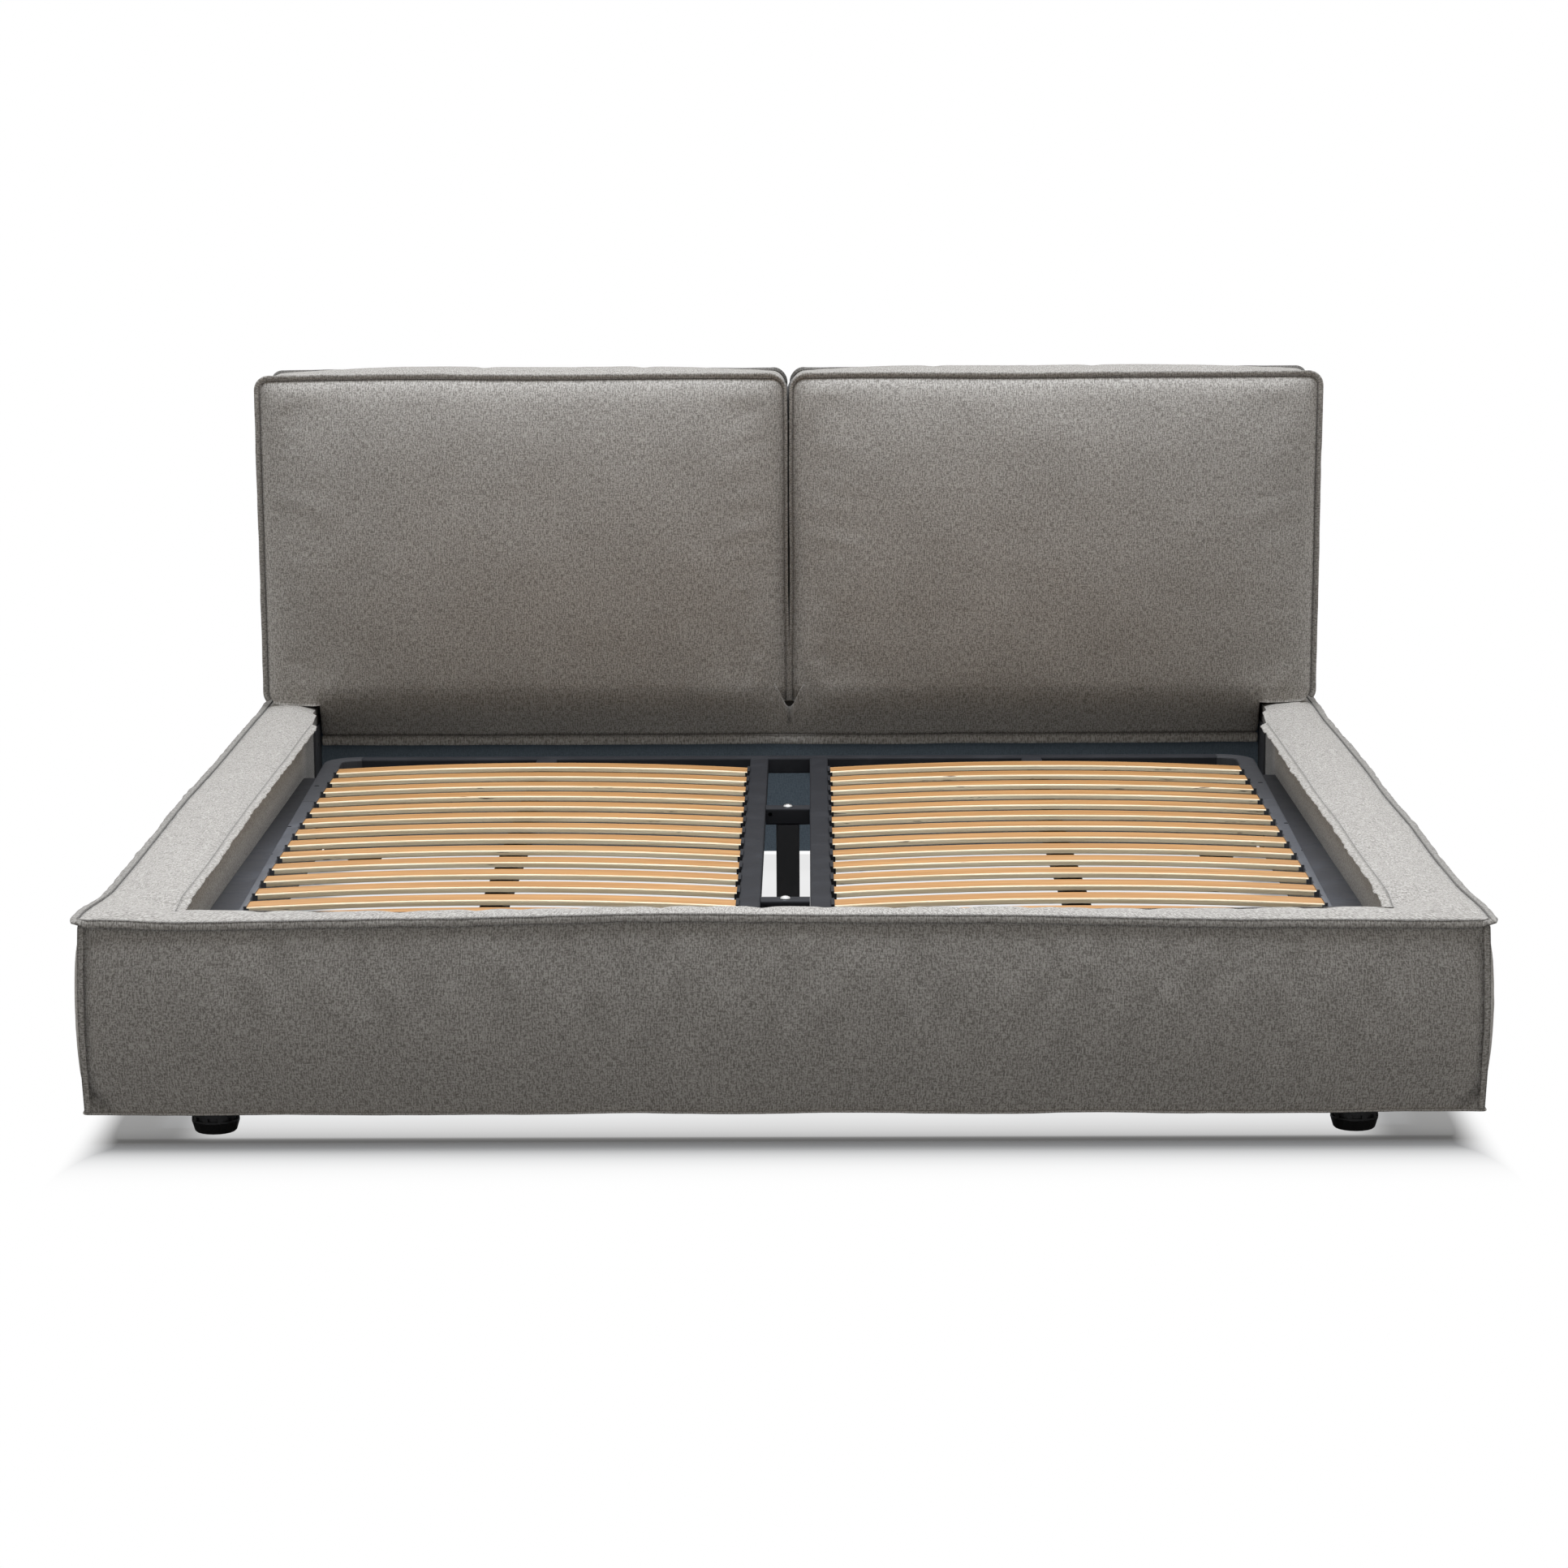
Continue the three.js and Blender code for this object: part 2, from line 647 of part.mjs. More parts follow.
for (const [name, side] of sides) {
  place(slatBase, `outer_rail_${name}`, outerRail(side), blackSteel);
  place(slatBase, `inner_rail_${name}`, innerRail(side), blackSteel);
  place(slatBase, `mid_rail_${name}`, midRail(side), blackSteel);
  place(surround, `side_board_${name}`, block(...sideBoardBox(side)), timber);
  place(surround, `side_pad_${name}`, sidePad(side), linen);
  place(surround, `support_angle_${name}`, supportAngle(side), blackSteel);
  place(headboard, `cushion_${name}`, side > 0 ? cushionGeometry : mirrored(cushionGeometry), linen);
  place(headboard, `head_bracket_${name}`, headBracket(side), blackSteel);
  slatAlong.forEach((y, i) => {
    const number = String(i + 1).padStart(2, '0');
    place(slatBase, `slat_${name}_${number}`, slatGeometry, beech, [side * slatMiddle, y, slatEndTop]);
  });
  for (const [end, y] of footAlong) {
    place(feet, `levelling_foot_${end}_${name}`, footGeometry, blackPlastic, [side * footX, y, 0]);
  }
}

place(slatBase, 'head_bar', tube('x', [-barSpan, barSpan], [frameHead - tubeWidth, frameHead],
  [frameBottom, frameTop]), blackSteel);
place(slatBase, 'foot_bar', tube('x', [-footBarSpan, footBarSpan], [frameFoot, frameFoot + tubeWidth],
  [frameBottom, frameTop]), blackSteel);
crossbarY.forEach((y, i) => {
  const name = ['head', 'foot'][i];
  place(slatBase, `crossbar_${name}`, crossbar(y), blackSteel);
  place(slatBase, `centre_leg_${name}`, centreLeg(y), blackSteel);
  place(slatBase, `leg_bolt_${name}`, boltGeometry, brightSteel, [0, y, frameTop]);
});
place(surround, 'footboard_core', footBoard(), timber);
place(surround, 'footboard_pad', footPad(), linen);
place(headboard, 'head_panel', headPanel(), lining);
place(headboard, 'skirt', skirt(), linen);

export default bed;
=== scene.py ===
import math

import bmesh
import bpy
import numpy as np
from mathutils import Matrix, Vector, noise
from mathutils.bvhtree import BVHTree


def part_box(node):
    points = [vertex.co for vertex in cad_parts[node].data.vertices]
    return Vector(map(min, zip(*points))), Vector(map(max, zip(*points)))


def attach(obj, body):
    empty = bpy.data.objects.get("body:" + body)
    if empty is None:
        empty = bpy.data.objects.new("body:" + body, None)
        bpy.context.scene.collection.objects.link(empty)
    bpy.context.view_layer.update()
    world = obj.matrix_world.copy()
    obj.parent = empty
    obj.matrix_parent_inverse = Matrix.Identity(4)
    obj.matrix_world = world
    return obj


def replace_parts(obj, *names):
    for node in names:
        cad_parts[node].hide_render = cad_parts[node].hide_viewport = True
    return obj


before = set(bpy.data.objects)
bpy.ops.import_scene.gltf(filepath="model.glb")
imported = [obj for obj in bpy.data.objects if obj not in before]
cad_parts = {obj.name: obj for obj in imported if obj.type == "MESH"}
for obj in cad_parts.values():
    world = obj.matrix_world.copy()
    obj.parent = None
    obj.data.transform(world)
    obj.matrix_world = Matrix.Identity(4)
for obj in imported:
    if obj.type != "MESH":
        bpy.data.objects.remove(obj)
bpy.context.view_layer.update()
scene = bpy.context.scene
print("frame loaded:", len(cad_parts), "nodes")


def addObject(name, data):
    item = bpy.data.objects.new(name, data)
    scene.collection.objects.link(item)
    return item


def feed(socket, value):       # value is a link, a colour or a number
    if isinstance(value, bpy.types.NodeSocket):
        socket.id_data.links.new(value, socket)
    elif value is not None:
        socket.default_value = (*value, 1) if socket.type == "RGBA" else value


def treeOf(*values):
    return next(value.id_data for value in values if isinstance(value, bpy.types.NodeSocket))


def addNode(tree, kind, inputs=None, **settings):
    node = tree.nodes.new("ShaderNode" + kind)
    for name, value in settings.items():
        setattr(node, name, value)
    for label, value in (inputs or {}).items():
        feed(node.inputs[label], value)
    return node


def mathNode(operation, a, b=None):
    return addNode(treeOf(a, b), "Math", {0: a, 1: b}, operation=operation).outputs[0]


def plus(a, b):
    return mathNode("ADD", a, b)


def minus(a, b):
    return mathNode("SUBTRACT", a, b)


def times(a, b):
    return mathNode("MULTIPLY", a, b)


def larger(a, b):
    return mathNode("MAXIMUM", a, b)


def mixColor(factor, a, b, blend="MIX"):
    return addNode(treeOf(factor, a, b), "Mix", {0: factor, 6: a, 7: b},
                   data_type="RGBA", blend_type=blend).outputs[2]


def mapRange(value, low, high, easing="SMOOTHSTEP"):
    return addNode(value.id_data, "MapRange", {"Value": value, "From Min": low, "From Max": high},
                   interpolation_type=easing).outputs["Result"]


def toned(pattern, low, high, a, b):       # from a to b as the pattern rises
    return mixColor(mapRange(pattern, low, high), a, b)


def splitAxes(vector):
    return addNode(vector.id_data, "SeparateXYZ", {0: vector}).outputs


def stretchedNoise(vector, stretch, detail=2.0, rough=0.5):
    tree = vector.id_data
    scaled = addNode(tree, "VectorMath", {0: vector, 1: stretch}, operation="MULTIPLY")
    return addNode(tree, "TexNoise", {"Vector": scaled.outputs[0], "Scale": 1, "Detail": detail,
                                      "Roughness": rough}).outputs["Fac"]


studio = {
    "cameraAt": (0.040, -7.492, 1.583),
    "pitchDown": 9.40,          # degrees
    "turnLeft": 0.305,
    "lean": 0.258,
    "lens": 98.8,
    "softboxWatts": 450,
    "softboxSize": (7.5, 4.4),
    "softboxAt": (0.0, -0.45, 7.5),
    "softboxTilt": 9,           # aimed at the bed's foot, degrees
    "softboxSpread": 110,       # fabric grid
    "softboxColor": (0.94, 0.985, 1.05),
    "airColor": (1.0, 0.955, 0.90),
    "airLow": 0.020,            # fill from all round
    "airSides": 2.3,            # added from left and right
    "airFront": 0.25,           # added from the front
    "floorReach": 60,
    "floorColor": 0.20,
    "floorFront": -1.224,       # the footboard's front, above the floor
    # painted shadow: the floor's white share falls to a dark band along the footboard's front and rises
    # again under the bed
    "floorTones": [             # metres in front of that, share of white
        (-0.30, 0.80), (-0.10, 0.68), (-0.065, 0.59), (-0.046, 0.50), (-0.034, 0.21),
        (-0.015, 0.10), (0.010, 0.10), (0.030, 0.20), (0.048, 0.38), (0.078, 0.61),
        (0.12, 0.81), (0.18, 0.95), (0.30, 1.0)],
    "floorBehind": (1.14, 1.20),   # plain white again behind the bed
    "floorSide": (0.985, 1.070),   # half width where the shade ends
    "floorEnds": (0.85, 0.93),     # darker outside the feet, from, to
    "floorEndsDepth": (-0.005, -0.05),
    "floorEndsDim": 0.6,
}


def makeCamera():
    data = bpy.data.cameras.new("camera")
    data.lens = studio["lens"]
    data.sensor_width = 36
    camera = addObject("camera", data)
    camera.location = studio["cameraAt"]
    camera.rotation_euler = (
        math.radians(90 - studio["pitchDown"]),
        math.radians(studio["lean"]),
        math.radians(studio["turnLeft"]),
    )
    scene.camera = camera


def makeSoftbox():
    softbox = bpy.data.lights.new("softbox", "AREA")
    softbox.shape = "RECTANGLE"
    softbox.size, softbox.size_y = studio["softboxSize"]
    softbox.energy = studio["softboxWatts"]
    softbox.color = studio["softboxColor"]
    softbox.spread = math.radians(studio["softboxSpread"])
    lamp = addObject("softbox", softbox)
    lamp.location = studio["softboxAt"]
    lamp.rotation_euler = (-math.radians(studio["softboxTilt"]), 0, 0)


def startTree(holder):
    holder.use_nodes = True
    holder.node_tree.nodes.clear()
    return holder.node_tree


def makeAir():                 # white to look at, soft light from the sides and the front
    world = bpy.data.worlds.new("studioAir")
    scene.world = world
    tree = startTree(world)
    path = addNode(tree, "LightPath").outputs
    seen = larger(path["Is Camera Ray"], path["Is Transmission Ray"])
    seen = larger(seen, path["Is Glossy Ray"])
    toward = splitAxes(addNode(tree, "TexCoord").outputs["Generated"])
    sideways = times(toward["X"], toward["X"])
    sideways = times(times(sideways, sideways), studio["airSides"])
    ahead = larger(times(toward["Y"], -1), 0)
    ahead = times(times(ahead, ahead), studio["airFront"])
    strength = plus(plus(sideways, studio["airLow"]), ahead)
    air = addNode(tree, "Background", {"Color": studio["airColor"], "Strength": strength})
    white = addNode(tree, "Background", {"Color": (1, 1, 1)})
    mix = addNode(tree, "MixShader", {0: seen, 1: air.outputs[0], 2: white.outputs[0]})
    addNode(tree, "OutputWorld", {"Surface": mix.outputs[0]})


def makeFloor():
    mesh = bpy.data.meshes.new("floor")
    reach = studio["floorReach"]
    mesh.from_pydata([(-reach, -reach, 0), (reach, -reach, 0), (reach, reach, 0), (-reach, reach, 0)],
                     [], [(0, 1, 2, 3)])
    floor = addObject("floor", mesh)
    material = bpy.data.materials.new("paleFloor")
    tree = startTree(material)
    place = splitAxes(addNode(tree, "TexCoord").outputs["Object"])
    # the camera sees white mixed over the floor's real shading, with a painted shadow band drawn by the
    # tones
    tones = studio["floorTones"]
    low, high = tones[0][0], tones[-1][0]
    ahead = minus(studio["floorFront"], place["Y"])
    curve = addNode(tree, "FloatCurve", {"Value": mapRange(ahead, low, high, "LINEAR")})
    points = curve.mapping.curves[0].points
    for _ in tones[2:]:
        points.new(0.5, 0.5)
    for point, (distance, tone) in zip(points, tones):
        point.location = ((distance - low) / (high - low), tone)
    curve.mapping.update()
    # painted shadow: less white share outside the feet, near the front
    aside = mathNode("ABSOLUTE", place["X"])
    ends = times(mapRange(aside, *studio["floorEnds"]),
                 mapRange(ahead, *studio["floorEndsDepth"]))
    ends = minus(1, times(ends, studio["floorEndsDim"]))
    fade = times(curve.outputs[0], ends)
    fade = larger(fade, mapRange(aside, *studio["floorSide"]))
    fade = larger(fade, mapRange(place["Y"], *studio["floorBehind"]))
    seen = times(fade, addNode(tree, "LightPath").outputs["Is Camera Ray"])
    matt = addNode(tree, "BsdfDiffuse", {"Color": [studio["floorColor"]] * 3})
    white = addNode(tree, "Emission", {"Color": (1, 1, 1)})
    mix = addNode(tree, "MixShader", {0: seen, 1: matt.outputs[0], 2: white.outputs[0]})
    addNode(tree, "OutputMaterial", {"Surface": mix.outputs[0]})
    mesh.materials.append(material)


makeCamera()
makeSoftbox()
makeAir()
makeFloor()
scene.view_settings.view_transform = "Standard"
print("studio ready")


# effects that several finishes share

def startGroup(name, inputs, outputs):
    group = bpy.data.node_groups.new(name, "ShaderNodeTree")
    for label, (kind, value) in inputs.items():
        socket = group.interface.new_socket(label, in_out="INPUT", socket_type="NodeSocket" + kind)
        if value is not None:
            socket.default_value = value
    for label, kind in outputs.items():
        group.interface.new_socket(label, in_out="OUTPUT", socket_type="NodeSocket" + kind)
    return group, group.nodes.new("NodeGroupInput").outputs, group.nodes.new("NodeGroupOutput").inputs


def useGroup(tree, group, **values):
    return addNode(tree, "Group", values, node_tree=group).outputs


def makeWeaveGroup():
    group, given, out = startGroup(
        "linenWeave",
        {"Threads": ("Vector", None), "Dark": ("Color", (0.2, 0.2, 0.2, 1)),
         "Light": ("Color", (0.4, 0.4, 0.4, 1)), "Slubs": ("Float", 0.5), "Clouds": ("Float", 0.1)},
        {"Color": "Color", "Height": "Float"})
    threads = given["Threads"]
    warp = stretchedNoise(threads, (560, 90, 1))       # upright yarns
    weft = stretchedNoise(threads, (100, 560, 1))
    fleck = stretchedNoise(threads, (400, 300, 1), 2, 0.6)
    slub = stretchedNoise(threads, (420, 13, 7), 1)
    cloud = stretchedNoise(threads, (9, 6, 3), 3)
    yarn = plus(times(warp, 0.55), times(weft, 0.3))
    yarn = plus(yarn, times(fleck, 0.65))
    color = toned(yarn, 0.61, 0.89, given["Dark"], given["Light"])
    bright = times(mapRange(slub, 0.60, 0.70), given["Slubs"])
    color = mixColor(bright, color, given["Light"])
    shade = plus(times(minus(cloud, 0.5), given["Clouds"]), 1)
    grey = addNode(group, "CombineColor", {"Red": shade, "Green": shade, "Blue": shade})
    feed(out["Color"], mixColor(1.0, color, grey.outputs[0], "MULTIPLY"))
    feed(out["Height"], plus(yarn, bright))
    return group


def makeWearGroup():
    group, given, out = startGroup(
        "scuffs", {"Vector": ("Vector", None), "Scale": ("Float", 30.0), "Amount": ("Float", 0.3)},
        {"Mask": "Float", "Peel": "Float"})
    patches = addNode(group, "TexNoise", {"Vector": given["Vector"], "Scale": given["Scale"],
                                          "Detail": 6, "Roughness": 0.7}).outputs["Fac"]
    peel = addNode(group, "TexNoise", {"Vector": given["Vector"], "Scale": 900, "Detail": 2})
    feed(out["Mask"], times(mapRange(patches, 0.45, 0.75), given["Amount"]))
    feed(out["Peel"], peel.outputs["Fac"])
    return group


weaveGroup = makeWeaveGroup()
wearGroup = makeWearGroup()


# finishes

linenTones = {"Dark": (0.173, 0.160, 0.145), "Light": (0.432, 0.412, 0.381), "Slubs": 0.5, "Clouds": 0.16}
liningTones = {"Dark": (0.105, 0.140, 0.172), "Light": (0.145, 0.185, 0.222), "Slubs": 0.0, "Clouds": 0.1}
# painted shade: the frame's black paint made darker, for the frame parts that lie in shade
shadedPaint = (0.015, 0.0155, 0.018)


def startMaterial(name):
    material = bpy.data.materials.new(name)
    material.use_nodes = True
    return material, material.node_tree


def objectPlace(tree):
    return addNode(tree, "TexCoord").outputs["Object"]


def dressShader(tree, values, height, strength, depth):
    bump = addNode(tree, "Bump", {"Strength": strength, "Distance": depth, "Height": height})
    shader = tree.nodes["Principled BSDF"]
    for label, value in {**values, "Normal": bump.outputs["Normal"]}.items():
        feed(shader.inputs[label], value)


def linen(name):
    material, tree = startMaterial(name)
    threads = addNode(tree, "Attribute", attribute_name="threads").outputs["Vector"]
    seam = addNode(tree, "Attribute", attribute_name="seam").outputs["Fac"]
    weave = useGroup(tree, weaveGroup, Threads=threads, **linenTones)
    # painted shade read from the mesh darkens the weave by up to 62 percent
    shade = minus(1, times(seam, 0.62))
    dressShader(tree, {
        "Base Color": mixColor(1.0, weave["Color"], shade, "MULTIPLY"), "Roughness": 0.95,
        "Specular IOR Level": 0.15, "Sheen Weight": 0.08, "Sheen Roughness": 0.6,
    }, weave["Height"], 0.5, 0.0012)
    return material


def lining(name):
    material, tree = startMaterial(name)
    turned = addNode(tree, "Mapping", {"Vector": objectPlace(tree), "Rotation": (math.radians(90), 0, 0)})
    weave = useGroup(tree, weaveGroup, Threads=turned.outputs["Vector"], **liningTones)
    dressShader(tree, {"Base Color": weave["Color"], "Roughness": 0.85, "Specular IOR Level": 0.25},
                weave["Height"], 0.25, 0.0006)
    return material


def worn(name, color, rubbed, wear, peel, roughness, dulls=0.0, shadedAlongY=None, **fixed):
    # wear is the scuffs' scale and amount, peel the bump's strength and depth
    material, tree = startMaterial(name)
    place = objectPlace(tree)
    scuffs = useGroup(tree, wearGroup, Vector=place, Scale=wear[0], Amount=wear[1])
    color = mixColor(scuffs["Mask"], color, rubbed)
    if dulls:
        roughness = plus(times(scuffs["Mask"], dulls), roughness)
    if shadedAlongY:                # painted shade: darker and duller towards the headboard, between these two places
        deep = mapRange(splitAxes(place)["Y"], *shadedAlongY)
        color = mixColor(deep, color, shadedPaint)
        roughness = plus(roughness, times(deep, 0.3))
    dressShader(tree, {"Base Color": color, "Roughness": roughness, **fixed}, scuffs["Peel"], *peel)
    return material


def paintedSteel(name, color, roughness, shine=0.5, shadedAlongY=None):
    dusty = tuple(c * 1.5 + 0.01 for c in color)
    return worn(name, color, dusty, (14, 0.5), (0.12, 0.0004), roughness, 0.3, shadedAlongY,
                **{"Specular IOR Level": shine})


def beech(name):
    material, tree = startMaterial(name)
    place = objectPlace(tree)
    fine = stretchedNoise(place, (9, 420, 420), 3, 0.6)
    broad = stretchedNoise(place, (2.2, 60, 20), 2)
    grain = plus(times(fine, 0.6), times(broad, 0.4))
    top = toned(grain, 0.35, 0.65, (0.300, 0.146, 0.048), (0.44, 0.236, 0.092))
    # the pale layered edges: their real pale colour, raised near white as painted light on the slat
    # fronts
    layers = stretchedNoise(place, (5, 30, 560), 2)
    edge = toned(layers, 0.38, 0.62, (0.86, 0.69, 0.45), (1.0, 0.885, 0.66))
    knots = stretchedNoise(place, (11, 3, 190), 3, 0.65)
    edge = toned(knots, 0.66, 0.72, edge, (0.10, 0.065, 0.035))
    up = splitAxes(addNode(tree, "NewGeometry").outputs["True Normal"])["Z"]
    color = toned(up, 0.80, 0.90, edge, (0.30, 0.155, 0.070))   # glue line
    color = toned(up, 0.975, 0.99, color, top)
    dressShader(tree, {"Base Color": color, "Roughness": 0.5, "Specular IOR Level": 0.25},
                grain, 0.15, 0.0006)
    return material


def plywood(name):
    material, tree = startMaterial(name)
    grain = stretchedNoise(objectPlace(tree), (25, 6, 6), 5, 0.6)
    color = toned(grain, 0.35, 0.65, (0.42, 0.29, 0.16), (0.60, 0.45, 0.27))
    dressShader(tree, {"Base Color": color, "Roughness": 0.7}, grain, 0.2, 0.0005)
    return material


finishes = {
    "linen_surround": linen("linenSurround"),
    "linen_cushion": linen("linenCushion"),
    "linen_skirt": linen("linenSkirt"),
    "panel_lining": lining("panelLining"),
    "beech_slat": beech("beechSlat"),
    # one black paint in two copies: this lighter one is painted light and turns to painted shade towards
    # the headboard; the next, darker one is painted shade
    "black_frame": paintedSteel("charcoalSteel", (0.064, 0.068, 0.079), 0.32, shadedAlongY=(-0.3, 0.5)),
    "shaded_frame": paintedSteel("charcoalShade", shadedPaint, 0.6, 0.12),
    "black_fittings": paintedSteel("blackFittings", (0.014, 0.014, 0.016), 0.42),
    "bright_bolt": worn("brightZinc", (0.72, 0.72, 0.71), (0.42, 0.42, 0.42), (120, 0.6), (0.1, 0.0002),
                        0.28, Metallic=1),
    "timber_core": plywood("rawPlywood"),
    "black_plastic_foot": worn("blackPlastic", (0.009, 0.009, 0.010), (0.022, 0.022, 0.023), (60, 0.5),
                               (0.2, 0.0004), 0.4),
}
print("materials made")


# what all the pieces are made with

def ease(value, low=0.0, high=1.0):
    t = min(1, max(0, (value - low) / (high - low)))
    return t * t * (3 - 2 * t)


def lerp(a, b, t):
    return a + (b - a) * t


def arc(t):
    return math.sin(math.pi * t)


def dip(distance, width):      # 1 at the middle of a narrow line, fading to 0 on both sides
    return math.exp(-(distance / width) ** 2)


def wobble(x, y, z):
    return noise.noise(Vector((x, y, z)))


def ripple(along, length, seed):     # smooth noise of about one unit either way
    return wobble(along / length, seed * 7.31, 0.37)


def spaced(low, high, step):
    count = max(1, round(abs(high - low) / step))
    return [lerp(low, high, i / count) for i in range(count + 1)]


mergeWithin = 2e-4             # metres
upward = Vector((0, 0, 1))
towardFoot = Vector((0, -1, 0))


def startShell():
    shell = bmesh.new()
    shell.loops.layers.float_vector.new("threads")
    # a layer of painted shade for the cloth, 0 to 1
    shell.loops.layers.float.new("seam")
    shell.verts.layers.float.new("slack")
    return shell


def pinned(u, v):
    return 0


def addPatch(shell, columns, rows, pointAt, threadAt, slackAt=pinned, flip=False):
    threads = shell.loops.layers.float_vector["threads"]
    slack = shell.verts.layers.float["slack"]
    verts = []
    for u in columns:
        line = []
        for v in rows:
            vert = shell.verts.new(pointAt(u, v))
            vert[slack] = slackAt(u, v)
            line.append(vert)
        verts.append(line)
    for i in range(len(columns) - 1):
        for j in range(len(rows) - 1):
            ring = [(i, j), (i + 1, j), (i + 1, j + 1), (i, j + 1)]
            if flip:
                ring.reverse()
            face = shell.faces.new([verts[a][b] for a, b in ring])
            face.smooth = True
            for loop, (a, b) in zip(face.loops, ring):
                loop[threads] = threadAt(columns[a], rows[b])


def closeShell(shell, name, finish):
    bmesh.ops.remove_doubles(shell, verts=shell.verts, dist=mergeWithin)
    bmesh.ops.delete(shell, geom=[v for v in shell.verts if not v.link_faces], context="VERTS")
    mesh = bpy.data.meshes.new(name)
    shell.to_mesh(mesh)
    shell.free()
    piece = addObject(name, mesh)
    mesh.materials.append(finishes[finish])
    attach(piece, "bed")
    return piece


def newPiece(name, shell, finish):
    bmesh.ops.recalc_face_normals(shell, faces=shell.faces)
    return closeShell(shell, name, finish)


def slowPart(mesh, shift, steps=24):
    # what is left of a shift after it is evened out between neighbours
    ends = np.empty(len(mesh.edges) * 2, dtype=np.int32)
    mesh.edges.foreach_get("vertices", ends)
    a, b = ends.reshape(-1, 2).T
    count = len(shift)
    neighbours = np.bincount(ends, minlength=count)
    slow = shift.astype(float)
    for _ in range(steps):
        for axis in range(3):
            value = slow[:, axis]
            total = np.bincount(a, value[b], count) + np.bincount(b, value[a], count)
            slow[:, axis] = (value + total / neighbours) / 2
    return slow


puffFrames = 20
softStop = 0.999               # a looser point than this isn't held at all
slowShare = 0.95               # how much of the slow part of the movement is taken out again
clothSettings = {
    "quality": 6, "mass": 0.3, "tension_stiffness": 25, "compression_stiffness": 25, "shear_stiffness": 8,
    "bending_stiffness": 2, "use_pressure": True, "vertex_group_mass": "held", "pin_stiffness": 1,
}


def readSpots(mesh):
    spots = np.empty(len(mesh.vertices) * 3, dtype=np.float32)
    mesh.vertices.foreach_get("co", spots)
    return spots.reshape(-1, 3)


def simulate(piece, loose, pressure, slack):
    held = piece.vertex_groups.new(name="held")
    for i, free in enumerate(loose):
        if free < softStop:
            held.add([i], 1 - float(free), "REPLACE")
    cloth = piece.modifiers.new("puff", "CLOTH")
    for setting, value in clothSettings.items():
        setattr(cloth.settings, setting, value)
    cloth.settings.uniform_pressure_force = pressure
    cloth.settings.shrink_min = -slack
    cloth.settings.effector_weights.gravity = 0
    cloth.collision_settings.use_collision = False
    cloth.point_cache.frame_start = 1
    cloth.point_cache.frame_end = puffFrames
    for step in range(1, puffFrames + 1):
        scene.frame_set(step)
    moved = readSpots(piece.evaluated_get(bpy.context.evaluated_depsgraph_get()).data)
    piece.modifiers.remove(cloth)
    piece.vertex_groups.clear()
    scene.frame_set(1)
    return moved


def puffOut(piece, form):
    mesh = piece.data
    loose = np.empty(len(mesh.vertices), dtype=np.float32)
    mesh.attributes["slack"].data.foreach_get("value", loose)
    rest = moved = readSpots(mesh)
    moved = simulate(piece, loose, form["pressure"], form["slack"])
    shift = moved - rest
    shift = (shift - slowPart(mesh, shift) * loose[:, None] * slowShare) * form["lively"]
    far = np.linalg.norm(shift, axis=1)
    print(piece.name, "moved up to", round(float(far.max()) * 1000, 1), "mm, mean",
          round(float(far.mean()) * 1000, 2), "mm")
    cap = form["cap"]
    shift *= (cap * np.tanh(far / cap) / np.maximum(far, 1e-9))[:, None]    # eased towards the cap
    mesh.vertices.foreach_set("co", (rest + shift).ravel())
    mesh.update()


def subdivide(piece):
    smooth = piece.modifiers.new("smooth", "SUBSURF")
    smooth.levels = smooth.render_levels = 1
    smooth.boundary_smooth = "PRESERVE_CORNERS"


# the fourth number is painted shade: dark at the lip's root, in its stitch groove and on its underside
lipOutline = [      # shares of the width, of the thickness and of the stand-off, then darkness
    (-0.03, -0.30, 0.0, 1.0), (-0.03, 0.50, 0.3, 1.0), (0.015, 0.92, 0.9, 1.0), (0.10, 0.96, 1.0, 0.55),
    (0.20, 0.72, 1.0, 0.35), (0.32, 0.95, 1.0, 0.0), (0.62, 1.0, 1.0, 0.0), (0.88, 0.88, 1.0, 0.0),
    (0.99, 0.42, 1.0, 0.4), (0.96, -0.12, 1.0, 1.0), (0.70, -0.35, 1.0, 1.0), (0.22, -0.40, 0.9, 1.0)]


def addLip(shell, stations, width, thick, flip=False):
    # a folded seam edge: each station is point, across, face, share of width, distance along,
    # and for some a stand-off and a painted shade
    threads = shell.loops.layers.float_vector["threads"]
    seam = shell.loops.layers.float["seam"]
    rings = []
    for point, across, face, share, along, *more in stations:
        out, dim = more or (0, 0)
        ring = [shell.verts.new(point + across * (a * width * share) + face * (b * thick + c * out))
                for a, b, c, _ in lipOutline]
        rings.append((ring, along, dim))
    size = len(lipOutline)
    for (ringA, alongA, dimA), (ringB, alongB, dimB) in zip(rings, rings[1:]):
        for k in range(size):
            m = (k + 1) % size
            corners = [(ringA[k], alongA, k, dimA), (ringB[k], alongB, k, dimB),
                       (ringB[m], alongB, k + 1, dimB), (ringA[m], alongA, k + 1, dimA)]
            if flip:
                corners.reverse()
            face = shell.faces.new([c[0] for c in corners])
            face.smooth = True
            for loop, (_, along, step, dim) in zip(face.loops, corners):
                loop[threads] = (along, 3 + step * 0.002, 0)
                loop[seam] = max(dim, lipOutline[step % size][3])
    for ring, turned in ((rings[0][0], not flip), (rings[-1][0], flip)):
        cap = shell.faces.new(list(reversed(ring)) if turned else ring)
        cap.smooth = True


creaseAngle = 38               # degrees


